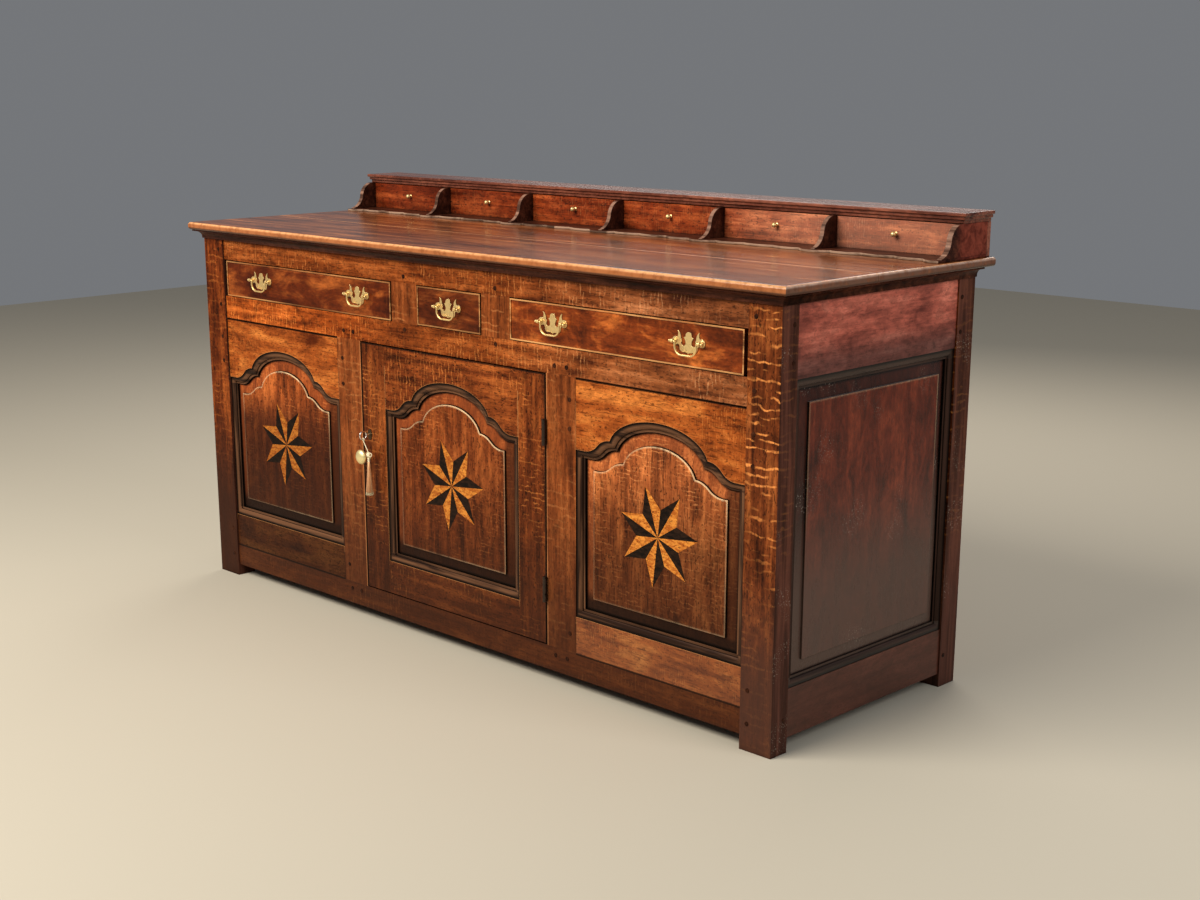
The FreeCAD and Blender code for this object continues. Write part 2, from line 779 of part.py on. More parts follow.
node("back_rails", back_rails)
node("back_boards", back_boards)
node("pegs", all_post_pegs + all_rear_pegs + rail_pegs + all_muntin_pegs)

# Floor boards on bearers, notched round the posts
FLOOR_UNDER = f"({Z_FLOOR} - dim.floor_thickness)"
bearer_levels = (f"{FLOOR_UNDER} - dim.bearer_section", FLOOR_UNDER)
node("floor_bearers", [
    board("front_bearer", (f"-({POST_IN}) + dim.notch_clear", f"{POST_IN} - dim.notch_clear"),
          (INNER, f"{INNER} + dim.bearer_section"), bearer_levels),
    board("back_bearer", (f"-({REAR_POST_IN}) + dim.notch_clear", f"{REAR_POST_IN} - dim.notch_clear"),
          (f"{BACK_RAIL} - dim.bearer_section", BACK_RAIL), bearer_levels),
])
floor_levels = (FLOOR_UNDER, Z_FLOOR)
notches = []
for sign, side in SIDES:
    across = mirrored(sign, f"{POST_IN} - dim.notch_clear", f"{HALF}")
    notches.append(board(
        f"{side}_front_notch", across, (FRONT, f"{POST_BACK} + dim.notch_clear"), floor_levels))
    across = mirrored(sign, f"{REAR_POST_IN} - dim.notch_clear", f"{HALF}")
    notches.append(board(
        f"{side}_rear_notch", across, (f"{REAR_POST_FRONT} - dim.notch_clear", REAR), floor_levels))
floor_boards = []
floor_pitch = f"(({BACK_RAIL}) - ({INNER})) / {FLOOR_BOARDS}"
for count in range(FLOOR_BOARDS):
    start = f"{INNER} + {count} * {floor_pitch}"
    end = f"{INNER} + {count + 1} * {floor_pitch} - dim.board_gap"
    plank = board(f"floor_board_{count + 1}", (f"-({END_INNER})", END_INNER), (start, end), floor_levels)
    floor_boards.append(carved(f"floor_board_{count + 1}_made", plank, notches))
node("floor_boards", floor_boards)

# Drawer runners with guides: a shared one behind each drawer muntin, one by each end
runner_levels = (f"{Z_DRAWER} - dim.runner_thickness", Z_DRAWER)
guide_levels = (Z_DRAWER, f"{Z_DRAWER} + dim.guide_height")
runners = []
for sign, side in SIDES:
    middle = f"dim.{side}_muntin_x"
    broad = around(middle, "dim.drawer_muntin + dim.runner_width")
    runners.append(board(f"{side}_runner", broad, (INNER, BACK_RAIL), runner_levels))
    runners.append(board(
        f"{side}_guide", around(middle, "dim.drawer_muntin"), (INNER, BACK_RAIL), guide_levels))
    outer = mirrored(sign, f"{POST_IN} - dim.runner_width", REAR_POST_IN)
    runners.append(board(f"{side}_outer_runner", outer, (POST_BACK, BACK_RAIL), runner_levels))
    outer = mirrored(sign, f"{POST_IN} - dim.drawer_outer_gap + dim.drawer_gap", REAR_POST_IN)
    runners.append(board(f"{side}_outer_guide", outer, (POST_BACK, BACK_RAIL), guide_levels))
node("drawer_runners", runners)


# Top: two planks with a worn round nosing on the front and the ends
def nosed(name, plank, edges_at):
    """A plank whose long edges at the given places are rounded."""
    doc.recompute()
    radius = size("nosing_radius")
    picked = []
    for number, edge in enumerate(plank.Shape.Edges, 1):
        middle = edge.CenterOfMass
        level = abs(edge.Vertexes[0].Point.z - edge.Vertexes[1].Point.z) < radius
        if level and any(abs(getattr(middle, axis) - place) < radius for axis, place in edges_at):
            picked.append((number, radius, radius))
    fillet = doc.addObject("Part::Fillet", name)
    fillet.Base = plank
    fillet.Edges = picked
    return fillet


overhang = f"({HALF} + dim.top_overhang)"
top_front = f"({FRONT} - dim.top_overhang)"
top_rear = f"({REAR} + dim.top_overhang)"
top_levels = (Z_TOP, Z_WORKTOP)
top_span = (f"-{overhang}", overhang)
front_plank = board("front_plank", top_span, (top_front, "-dim.top_joint - dim.board_gap"), top_levels)
rear_plank = board("rear_plank", top_span, ("-dim.top_joint", top_rear), top_levels)
plank_ends = [("x", value(overhang)), ("x", -value(overhang))]
node("top_boards", [
    nosed("front_plank_nosed", front_plank, plank_ends + [("y", value(top_front))]),
    nosed("rear_plank_nosed", rear_plank, plank_ends),
])

# Hollow moulding under the top, mitred at the front corners
cornice_low = size("height") - size("cornice_height")
cornice_fillet = size("cornice_fillet")
cove_reach = size("cornice_projection") - 2 * cornice_fillet
cove_rise = size("cornice_height") - 2 * cornice_fillet
cornice_profile = [(0, cornice_low), (cornice_fillet, cornice_low)]
for count in range(COVE_STEPS + 1):
    angle = math.pi / 2 * count / COVE_STEPS
    reach = cornice_fillet + cove_reach * (1 - math.cos(angle))
    cornice_profile.append((reach, cornice_low + cornice_fillet + cove_rise * math.sin(angle)))
crest = cornice_low + cornice_fillet + cove_rise
cornice_profile += [
    (size("cornice_projection"), crest), (size("cornice_projection"), size("height")), (0, size("height"))]


def cornice(name, first, last):
    """A length of moulding between two sections; each gives a point for a reach and a height."""
    wires = []
    for place in (first, last):
        points = [place(reach, level) for reach, level in cornice_profile]
        wires.append(Part.makePolygon(points + points[:1]))
    return formed(name, Part.makeLoft(wires, True, True))


def corner_section(sign):
    return lambda reach, level: Vector(sign * (value(HALF) + reach), value(FRONT) - reach, level)


def rear_section(sign):
    return lambda reach, level: Vector(sign * (value(HALF) + reach), value(REAR), level)


node("cornice_mouldings", [
    cornice("front_cornice", corner_section(-1), corner_section(1)),
    cornice("left_cornice", corner_section(-1), rear_section(-1)),
    cornice("right_cornice", corner_section(1), rear_section(1)),
])

# Gallery: scalloped base board, brackets, stepped shelf and back board
Z_BAY = f"({Z_WORKTOP} + dim.gallery_base)"
Z_SHELF = f"({Z_WORKTOP} + dim.gallery_height)"
GALLERY_REAR = "(dim.depth / 2 + dim.top_overhang - dim.gallery_rear_gap)"
GALLERY_BACK = f"({GALLERY_REAR} - dim.gallery_back_thickness)"
GALLERY_IN = "(dim.gallery_half - dim.gallery_end)"
BAY_PITCH = f"((2 * {GALLERY_IN} + dim.gallery_divider) / {SPICE_DRAWERS})"


def divider_x(count):
    return f"(-({GALLERY_IN}) - dim.gallery_divider / 2 + {count} * {BAY_PITCH})"


def bay_x(count):
    return f"({divider_x(count)} + {BAY_PITCH} / 2)"


LOBE_SHARE = 0.13
MID_LOBE_SHARE = 0.37


def scalloped_base():
    """A thin board whose front edge runs in lobes, the longest ones round the brackets' feet."""
    level = value(Z_WORKTOP)
    half = size("gallery_half")
    rear = value(GALLERY_BACK)
    lobe = size("gallery_lobe_front")
    side_y = size("gallery_scallop_side")
    mid_y = size("gallery_scallop_mid")
    bulge = size("gallery_bulge")
    pitch = value(BAY_PITCH)
    cusps = []
    for count in range(SPICE_DRAWERS):
        start = value(divider_x(count))
        for share, y in (
                (LOBE_SHARE, side_y), (MID_LOBE_SHARE, mid_y),
                (1 - MID_LOBE_SHARE, mid_y), (1 - LOBE_SHARE, side_y)):
            cusps.append(Vector(start + share * pitch, y, level))
    edges = [arc(Vector(-half, lobe, level), Vector((cusps[0].x - half) / 2, lobe, level), cusps[0])]
    for count, (before, after) in enumerate(zip(cusps, cusps[1:])):
        middle = (before + after) / 2
        middle.y -= bulge
        if count % 4 == 3:
            middle.y = lobe
        edges.append(arc(before, middle, after))
    edges.append(arc(cusps[-1], Vector((cusps[-1].x + half) / 2, lobe, level), Vector(half, lobe, level)))
    edges.append(Part.makeLine(Vector(half, lobe, level), Vector(half, rear, level)))
    edges.append(Part.makeLine(Vector(half, rear, level), Vector(-half, rear, level)))
    edges.append(Part.makeLine(Vector(-half, rear, level), Vector(-half, lobe, level)))
    return Part.Face(Part.Wire(edges)).extrude(Vector(0, 0, size("gallery_base")))


OGEE_TURN = (0.46, 0.55)
OGEE_HOLLOW = (0.32, 0.19)
OGEE_ROUND = (0.65, 0.88)


def bracket(name, start, end):
    """An upright bracket with an S-shaped front edge, between two places along X."""
    x = value(start)
    low = value(Z_BAY)
    high = value(Z_SHELF)
    front = size("bracket_front")
    shoulder = size("bracket_shoulder")
    rear = value(GALLERY_BACK)
    foot = low + size("bracket_tip")

    def along(share):
        return Vector(x, front + share[0] * (shoulder - front), foot + share[1] * (high - foot))

    edges = [
        Part.makeLine(Vector(x, front, low), Vector(x, front, foot)),
        arc(along((0, 0)), along(OGEE_HOLLOW), along(OGEE_TURN)),
        arc(along(OGEE_TURN), along(OGEE_ROUND), along((1, 1))),
        Part.makeLine(along((1, 1)), Vector(x, rear, high)),
        Part.makeLine(Vector(x, rear, high), Vector(x, rear, low)),
        Part.makeLine(Vector(x, rear, low), Vector(x, front, low)),
    ]
    return formed(name, Part.Face(Part.Wire(edges)).extrude(Vector(value(end) - x, 0, 0)))


node("gallery_base", [formed("scalloped_base", scalloped_base())])
brackets = []
for sign, side in SIDES:
    brackets.append(bracket(f"{side}_bracket", *mirrored(sign, GALLERY_IN, "dim.gallery_half")))
for count in range(1, SPICE_DRAWERS):
    brackets.append(bracket(f"divider_{count}", *around(divider_x(count), "dim.gallery_divider")))
node("gallery_brackets", brackets)
shelf_steps = []
for count in range(3):
    reach = f"dim.shelf_reach * {count}"
    shelf_steps.append(board(
        f"shelf_step_{count}", (f"-dim.gallery_half - {reach}", f"dim.gallery_half + {reach}"),
        (f"dim.shelf_front - {reach}", GALLERY_REAR),
        (f"{Z_SHELF} + {count} * dim.shelf_step", f"{Z_SHELF} + {count + 1} * dim.shelf_step")))
node("gallery_shelf", [joined("stepped_shelf", shelf_steps)])
node("gallery_back", [board(
    "gallery_back_board", ("-dim.gallery_half", "dim.gallery_half"), (GALLERY_BACK, GALLERY_REAR),
    (Z_WORKTOP, Z_SHELF))])


# Spice drawers: small boxes between the brackets, each with a turned brass knob
def spice_knob(name, x):
    radius = size("spice_knob_radius")
    reach = size("spice_knob_reach")
    neck = radius * 0.42
    ball = reach - radius
    shank = -size("spice_front_thickness") * 0.8
    meet = ball - math.sqrt(radius ** 2 - neck ** 2)
    profile = [
        (0, shank), (neck * 0.8, shank), (neck * 0.8, 0), (radius * 0.8, 0), (radius * 0.8, neck * 0.5),
        (neck, neck), (neck, meet), (0, reach, radius, ball)]
    base = Vector(value(x), size("spice_front"), value(f"{Z_BAY} + dim.spice_knob_height"))
    return formed(name, turned(profile, base, Vector(0, -1, 0)))


for count in range(SPICE_DRAWERS):
    tag = count + 1
    left = f"({divider_x(count)} + dim.gallery_divider / 2 + dim.spice_gap)"
    right = f"({divider_x(count + 1)} - dim.gallery_divider / 2 - dim.spice_gap)"
    low = f"({Z_BAY} + dim.spice_lift)"
    high = f"({Z_SHELF} - dim.spice_head)"
    behind = "(dim.spice_front + dim.spice_front_thickness)"
    rear = "(dim.spice_front + dim.spice_depth)"
    knob = spice_knob(f"spice_knob_{tag}_turned", bay_x(count))
    face = board(f"spice_face_{tag}", (left, right), ("dim.spice_front", behind), (low, high))
    inside = (f"{left} + dim.spice_side", f"{right} - dim.spice_side")
    node(f"spice_drawer_{tag}", [
        carved(f"spice_face_{tag}_made", face, knob),
        board(f"spice_left_{tag}", (left, inside[0]), (behind, rear), (low, high)),
        board(f"spice_right_{tag}", (inside[1], right), (behind, rear), (low, high)),
        board(f"spice_back_{tag}", inside, (f"{rear} - dim.spice_side", rear), (low, high)),
        board(f"spice_bottom_{tag}", inside, (behind, f"{rear} - dim.spice_side"),
              (low, f"{low} + dim.spice_bottom")),
    ])
    node(f"spice_knob_{tag}", [knob])

# Swan-neck handles: right half of the plate's outline, each stop with an optional arc middle
PLATE_OUTLINE = (
    ((7.2, 9.5), (6.2, 15.0)),
    ((12.0, 7.3), None),
    ((7.0, -2.5), (8.4, 2.6)),
    ((18.0, -2.5), (12.5, -8.0)),
    ((18.6, 5.2), (16.4, 1.6)),
    ((27.0, 20.0), (20.6, 14.0)),
    ((27.9, 6.6), (25.3, 13.0)),
    ((27.9, -6.6), (39.8, 0.0)),
    ((22.0, -11.0), (23.4, -7.2)),
    ((12.3, -20.0), (19.4, -17.6)),
    ((0.0, -22.0), (5.6, -19.8)),
)
PLATE_TOP = (0.0, 17.8)
PIVOT = f"({FACE} - dim.handle_reach)"
HANDLE_LEVEL = f"({Z_DRAWER} + dim.handle_height)"
PLATE_FRONT = f"({FACE} - dim.plate_thickness)"


def handle_plate(name, x):
    """A pierced-looking back plate: two rosettes, two horns, a leaf and a shield below."""
    centre = value(x)
    level = value(HANDLE_LEVEL)
    front = value(PLATE_FRONT)
    edges = []
    for sign in (1, -1):
        before = PLATE_TOP
        for after, middle in PLATE_OUTLINE:
            first = Vector(centre + sign * before[0], front, level + before[1])
            last = Vector(centre + sign * after[0], front, level + after[1])
            if middle is None:
                edges.append(Part.makeLine(first, last))
            else:
                edges.append(arc(first, Vector(centre + sign * middle[0], front, level + middle[1]), last))
            before = after
    face = Part.Face(Part.Wire(Part.__sortEdges__(edges)))
    return formed(name, face.extrude(Vector(0, size("plate_thickness"), 0)))


def handle_post(name, x):
    """A bolt through the drawer front with a collar, ending in an eye for the bail."""
    stem = rod(
        f"{name}_stem", "dim.handle_stem_radius", "dim.handle_reach + dim.drawer_front_thickness",
        (x, PIVOT, HANDLE_LEVEL), (0, 1, 0))
    collar = rod(
        f"{name}_collar", "dim.handle_collar_radius", "dim.handle_collar",
        (x, f"{PLATE_FRONT} - dim.handle_collar", HANDLE_LEVEL), (0, 1, 0))
    eye = rod(
        f"{name}_eye", "dim.handle_eye_radius", "2 * dim.handle_eye_half",
        (f"({x}) - dim.handle_eye_half", PIVOT, HANDLE_LEVEL), (1, 0, 0))
    bore = rod(
        f"{name}_bore", "dim.bail_radius + dim.bail_fit", "4 * dim.handle_eye_half",
        (f"({x}) - 2 * dim.handle_eye_half", PIVOT, HANDLE_LEVEL), (1, 0, 0))
    return carved(name, joined(f"{name}_whole", [stem, collar, eye]), bore), stem


def bail(name, x):
    """A wire bail with pins through both eyes, hanging straight down."""
    centre = value(x)
    level = value(HANDLE_LEVEL)
    pivot = value(PIVOT)
    radius = size("bail_radius")
    bend = size("bail_bend")
    corner = size("bail_corner")
    drop = size("bail_drop")
    pin = size("handle_spacing") / 2 + size("bail_end_reach")
    arm = size("handle_spacing") / 2 - size("handle_eye_half") - size("bail_arm_clear") - radius
    slant = math.sqrt(0.5)

    def at(u, v):
        return Vector(centre + u, pivot, level + v)

    def half(sign):
        turn = arc(
            at(sign * (arm + bend), 0), at(sign * (arm + bend * (1 - slant)), -bend * (1 - slant)),
            at(sign * arm, -bend))
        swing = arc(
            at(sign * arm, corner - drop),
            at(sign * (arm - corner * (1 - slant)), corner * (1 - slant) - drop),
            at(sign * (arm - corner), -drop))
        return [
            Part.makeLine(at(sign * pin, 0), at(sign * (arm + bend), 0)), turn,
            Part.makeLine(at(sign * arm, -bend), at(sign * arm, corner - drop)), swing]

    route = half(-1) + [Part.makeLine(at(corner - arm, -drop), at(arm - corner, -drop))] + half(1)
    path = Part.Wire(Part.__sortEdges__(route))
    rim = Part.Wire(Part.makeCircle(radius, at(-pin, 0), Vector(1, 0, 0)))
    wire = path.makePipeShell([rim], True, False)
    ends = [Part.makeSphere(size("bail_end_radius"), at(sign * pin, 0)) for sign in (-1, 1)]
    return formed(name, wire.multiFuse(ends))


# Drawers: a beaded front, sides, back and bottom, handle plates with posts, swinging bails
def drawer(name, left, right, handles):
    back_face = f"({FACE} + dim.drawer_front_thickness)"
    low = f"({Z_DRAWER} + dim.drawer_edge_gap)"
    high = f"({Z_RAIL} - dim.drawer_edge_gap)"
    proud = (f"{FACE} - dim.bead_proud", FACE)
    panel = board(f"{name}_front_board", (left, right), (FACE, back_face), (low, high))
    beads = [
        board(f"{name}_bead_low", (left, right), proud, (low, f"{low} + dim.bead_width")),
        board(f"{name}_bead_high", (left, right), proud, (f"{high} - dim.bead_width", high)),
        board(f"{name}_bead_left", (left, f"{left} + dim.bead_width"), proud, (low, high)),
        board(f"{name}_bead_right", (f"{right} - dim.bead_width", right), proud, (low, high)),
    ]
    plates = []
    stems = []
    for count, x in enumerate(handles, 1):
        pair = []
        for mark, offset in (("a", "- dim.handle_spacing / 2"), ("b", "+ dim.handle_spacing / 2")):
            post, stem = handle_post(f"{name}_post_{count}{mark}", f"{x} {offset}")
            pair.append(post)
            stems.append(stem)
        plate = handle_plate(f"{name}_plate_{count}", x)
        plates.append(carved(f"{name}_plate_{count}_made", plate, stems[-2:]))
        plates += pair
        tag = f"_{count}" if len(handles) > 1 else ""
        node(f"{name}_bail{tag}", [bail(f"{name}_bail_wire_{count}", x)])
    node(f"{name}_front", [carved(
        f"{name}_front_made", joined(f"{name}_front_beaded", [panel] + beads), stems)])
    node(f"{name}_handles", plates)
    base = f"({Z_DRAWER} + dim.drawer_lift)"
    crown = f"({base} + dim.drawer_side_height)"
    rear = f"({BACK_RAIL} - dim.drawer_rear_clear)"
    inside = (f"{left} + dim.drawer_side", f"{right} - dim.drawer_side")
    floor_low = f"({base} + dim.drawer_bottom_lift)"
    floor_high = f"({floor_low} + dim.drawer_bottom)"
    node(f"{name}_box", [
        board(f"{name}_left_side", (left, inside[0]), (back_face, rear), (base, crown)),
        board(f"{name}_right_side", (inside[1], right), (back_face, rear), (base, crown)),
        board(f"{name}_back", inside, (f"{rear} - dim.drawer_side", rear),
              (floor_high, f"{crown} - dim.drawer_back_drop")),
        board(f"{name}_bottom", inside, (back_face, rear), (floor_low, floor_high)),
    ])


left_start = f"(-({POST_IN}) + dim.drawer_outer_gap)"
left_end = "(dim.left_muntin_x - dim.drawer_muntin / 2 - dim.drawer_gap)"
centre_start = "(dim.left_muntin_x + dim.drawer_muntin / 2 + dim.drawer_gap)"
centre_end = "(dim.right_muntin_x - dim.drawer_muntin / 2 - dim.drawer_gap)"
right_start = "(dim.right_muntin_x + dim.drawer_muntin / 2 + dim.drawer_gap)"
right_end = f"({POST_IN} - dim.drawer_outer_gap)"
drawer("left_drawer", left_start, left_end, (
    f"({left_start} + dim.left_outer_handle)", f"({left_end} - dim.left_inner_handle)"))
drawer("centre_drawer", centre_start, centre_end, (f"(({centre_start} + {centre_end}) / 2)",))
drawer("right_drawer", right_start, right_end, (
    f"({right_start} + dim.right_inner_handle)", f"({right_end} - dim.right_outer_handle)"))

# Door: stiles and rails round a fielded panel with a star
DOOR_EDGE = f"({DOOR_HALF} - dim.door_gap)"
DOOR_SIGHT = f"({DOOR_EDGE} - dim.door_stile)"
Z_DOOR_LOW = f"({Z_FLOOR} + dim.door_gap)"
Z_DOOR_HIGH = f"({Z_MID} - dim.door_gap)"
Z_DOOR_PANEL = f"({Z_DOOR_LOW} + dim.door_bottom_rail)"
door_opening = arched_opening(0, value(DOOR_SIGHT), value(Z_DOOR_PANEL))
door_cutter = formed("door_cutter", door_opening.cutter())
door_span = (f"-({DOOR_SIGHT})", DOOR_SIGHT)
door_low, door_low_ends = tenoned(
    "door_bottom_rail", door_span, (FACE, INNER), (Z_DOOR_LOW, f"{Z_DOOR_PANEL} + {SIGHT}"), "x",
    "dim.tenon_length")
door_high, door_high_ends = tenoned(
    "door_arched_rail", door_span, (FACE, INNER), (Z_LEDGE_SIGHT, Z_DOOR_HIGH), "x",
    "dim.tenon_length")
KEY_BASE = Vector(size("key_x"), value(FACE), size("key_z"))
keyhole = rod(
    "keyhole", "dim.keyhole_radius", "dim.frame_thickness + dim.lock_depth",
    ("dim.key_x", f"{FACE} - dim.escutcheon_thickness", "dim.key_z"), (0, 1, 0))
spindle_hole = rod(
    "spindle_hole", "dim.spindle_radius + dim.spindle_fit", "dim.frame_thickness",
    ("dim.knob_x", FACE, "dim.knob_z"), (0, 1, 0))
door_frame = [
    carved("door_bottom_moulded", door_low, door_cutter),
    carved("door_arched_moulded", door_high, door_cutter)]
for sign, side in SIDES:
    stile = board(
        f"door_{side}_stile", mirrored(sign, DOOR_SIGHT, DOOR_EDGE), (FACE, INNER),
        (Z_DOOR_LOW, Z_DOOR_HIGH))
    strip = board(
        f"door_{side}_strip", mirrored(sign, f"{DOOR_SIGHT} - {SIGHT}", DOOR_SIGHT), (FACE, INNER),
        (f"{Z_DOOR_PANEL} + {SIGHT}", Z_LEDGE_SIGHT))
    end = 0 if sign < 0 else 1
    whole = joined(f"door_{side}_whole", [stile, strip])
    made = carved(f"door_{side}_moulded", whole, door_cutter, [door_low_ends[end], door_high_ends[end]])
    if side == "left":
        made = carved("door_left_bored", made, keyhole, spindle_hole)
    door_frame.append(made)
node("door_frame", door_frame)
door_panel, door_dark, door_light = starred_panel("door_panel", door_opening, 0)
node("door_panel", [door_panel])
node("door_star_dark", [door_dark])
node("door_star_light", [door_light])

# Butt hinges: the door's leaf carries the middle knuckle, the frame's leaf the outer two and the pin
PIN_X = f"({DOOR_HALF} - dim.door_gap / 2)"
PIN_Y = f"({FACE} - dim.hinge_knuckle_radius - dim.hinge_knuckle_gap)"


def hinge(name, low):
    third = "dim.hinge_height / 3"
    upright = (low, f"{low} + dim.hinge_height")
    depth = (FACE, f"{FACE} + dim.hinge_leaf_depth")
    tab = (PIN_Y, FACE)
    door_x = (DOOR_EDGE, f"{DOOR_EDGE} + dim.hinge_leaf")
    frame_x = (f"{DOOR_HALF} - dim.hinge_leaf", DOOR_HALF)
    gap = "dim.hinge_knuckle_gap"
    middle = (f"{low} + {third} + {gap}", f"{low} + 2 * {third} - {gap}")
    door_items = [
        board(f"{name}_door_leaf", door_x, depth, upright),
        board(f"{name}_door_tab", door_x, tab, middle),
        rod(f"{name}_door_knuckle", "dim.hinge_knuckle_radius", f"{third} - 2 * {gap}",
            (PIN_X, PIN_Y, middle[0]), (0, 0, 1)),
    ]
    bore = rod(
        f"{name}_bore", "dim.hinge_pin_radius + dim.hinge_fit", "dim.hinge_height",
        (PIN_X, PIN_Y, low), (0, 0, 1))
    frame_items = [
        board(f"{name}_frame_leaf", frame_x, depth, upright),
        rod(f"{name}_pin", "dim.hinge_pin_radius", "dim.hinge_height", (PIN_X, PIN_Y, low), (0, 0, 1)),
    ]
    for mark, start in (("low", low), ("high", f"{low} + 2 * {third}")):
        frame_items.append(board(f"{name}_{mark}_tab", frame_x, tab, (start, f"{start} + {third}")))
        frame_items.append(rod(
            f"{name}_{mark}_knuckle", "dim.hinge_knuckle_radius", third, (PIN_X, PIN_Y, start), (0, 0, 1)))
    door_leaf = carved(f"{name}_door_made", joined(f"{name}_door_whole", door_items), bore)
    return door_leaf, joined(f"{name}_frame_made", frame_items)


low_hinge = hinge("low_hinge", "dim.hinge_low")
high_hinge = hinge("high_hinge", "dim.hinge_high")
node("door_hinge_leaves", [low_hinge[0], high_hinge[0]])
node("frame_hinge_leaves", [low_hinge[1], high_hinge[1]])

# Lock: a hollow case on the inside of the stile with a sliding bolt
lock_x = (f"-({DOOR_EDGE}) + dim.lock_edge", f"-({DOOR_EDGE}) + dim.lock_edge + dim.lock_width")
lock_y = (INNER, f"{INNER} + dim.lock_depth")
lock_z = ("dim.lock_base", "dim.lock_base + dim.lock_height")
lock_outer = board("lock_outer", lock_x, lock_y, lock_z)
lock_hollow = board("lock_hollow", *[
    (f"{start} + dim.lock_wall", f"{end} - dim.lock_wall") for start, end in (lock_x, lock_y, lock_z)])
bolt_front = f"{INNER} + dim.lock_wall + dim.bolt_clear"
bolt_y = (bolt_front, f"{bolt_front} + dim.bolt_thickness")
bolt_z = ("dim.bolt_low", "dim.bolt_low + dim.bolt_height")
bolt_slot = board(
    "bolt_slot", (f"{lock_x[0]} - dim.lock_wall", f"{lock_x[0]} + 2 * dim.lock_wall"),
    *[(f"{start} - dim.bolt_clear", f"{end} + dim.bolt_clear") for start, end in (bolt_y, bolt_z)])
node("lock_case", [carved("lock_case_made", lock_outer, lock_hollow, bolt_slot, keyhole)])
node("lock_bolt", [board(
    "lock_bolt_bar", (lock_x[0], f"{lock_x[0]} + dim.bolt_length"), bolt_y, bolt_z)])

# Escutcheon: an oval plate round the keyhole
escutcheon_ring = Part.Ellipse(
    KEY_BASE + Vector(0, 0, size("escutcheon_height") / 2),
    KEY_BASE + Vector(size("escutcheon_width") / 2, 0, 0), KEY_BASE)
escutcheon_face = Part.Face(Part.Wire(escutcheon_ring.toShape()))
escutcheon = formed(
    "escutcheon_plate", escutcheon_face.extrude(Vector(0, -size("escutcheon_thickness"), 0)))
node("keyhole_escutcheon", [carved("escutcheon_bored", escutcheon, keyhole)])

# Key: a ring bow in line with the shank, the bit pointing up inside the lock
bow_centre = KEY_BASE - Vector(0, size("bow_reach"), 0)
bow = Part.makeTorus(size("bow_radius"), size("bow_wire"), bow_centre, Vector(1, 0, 0))
shank_start = bow_centre + Vector(0, size("bow_radius"), 0)
shank_length = size("key_tail") + size("bow_reach") - size("bow_radius")
shank = Part.makeCylinder(size("key_shank_radius"), shank_length, shank_start, Vector(0, 1, 0))
bit_corner = KEY_BASE + Vector(-size("key_bit_thickness") / 2, size("key_tail") - size("key_bit_length"), 0)
bit = Part.makeBox(size("key_bit_thickness"), size("key_bit_length"), size("key_bit"), bit_corner)
node("key", [formed("key_whole", bow.multiFuse([shank, bit]))])

# Oval knob on a spindle through the stile, with the catch that turns behind the muntin
knob_base = Vector(size("knob_x"), value(FACE), size("knob_z"))
oval = Matrix()
oval.scale(size("knob_width") / 2, size("knob_thickness") / 2, size("knob_height") / 2)
head = Part.makeSphere(1).transformGeometry(oval)
head.translate(knob_base - Vector(0, size("knob_reach") - size("knob_thickness") / 2, 0))
stem_length = size("knob_reach") - size("knob_thickness") / 2
stem = Part.makeCylinder(size("knob_stem_radius"), stem_length, knob_base, Vector(0, -1, 0))
rose = Part.makeCylinder(size("knob_rose_radius"), size("knob_rose"), knob_base, Vector(0, -1, 0))
catch_near = size("frame_thickness") + size("catch_clear")
spindle = Part.makeCylinder(
    size("spindle_radius"), catch_near + size("catch_thickness"), knob_base, Vector(0, 1, 0))
catch_half = size("catch_width") / 2
catch = Part.makeBox(
    size("catch_width"), size("catch_thickness"), size("catch_reach") + catch_half,
    knob_base + Vector(-catch_half, catch_near, -size("catch_reach")))
node("turn_knob", [formed("turn_knob_whole", head.multiFuse([stem, rose, spindle, catch]))])

# Tassel: a cord looped round the bow, a knot, a neck and a spreading skirt
loop_radius = size("bow_wire") + size("cord_loop_clear") + size("cord_radius")
loop_centre = bow_centre - Vector(0, 0, size("bow_radius"))
loop = Part.makeTorus(loop_radius, size("cord_radius"), loop_centre, Vector(0, 1, 0))
cord_start = loop_centre - Vector(0, 0, loop_radius)
tassel_x = size("key_x") + size("tassel_offset")
cord_end = Vector(tassel_x, bow_centre.y, size("tassel_top"))
cord_run = cord_end - cord_start
cord = Part.makeCylinder(size("cord_radius"), cord_run.Length, cord_start, cord_run)
room = 2 * size("tassel_head_radius")
below_corner = cord_end + Vector(-room, -room, size("cord_end_clear") - room)
below = Part.makeBox(2 * room, 2 * room, room, below_corner)
node("tassel_cord", [formed("tassel_cord_whole", loop.fuse(cord).cut(below))])
tassel_head = size("tassel_head_radius")
tassel_neck = size("tassel_neck_radius")
skirt_top = size("tassel_skirt_top") - size("tassel_skirt_bottom")
head_high = size("tassel_top") - size("tassel_skirt_bottom")
head_middle = head_high - tassel_head
head_low = head_middle - math.sqrt(tassel_head ** 2 - tassel_neck ** 2)
skirt = size("tassel_skirt_radius")
tassel_profile = [
    (0, 0), (skirt, 0), (tassel_neck, skirt_top, skirt * 0.55, skirt_top * 0.48), (tassel_neck, head_low),
    (0, head_high, tassel_head, head_middle)]
tassel_base = Vector(tassel_x, bow_centre.y, size("tassel_skirt_bottom"))
node("tassel", [formed("tassel_whole", turned(tassel_profile, tassel_base, Vector(0, 0, 1)))])

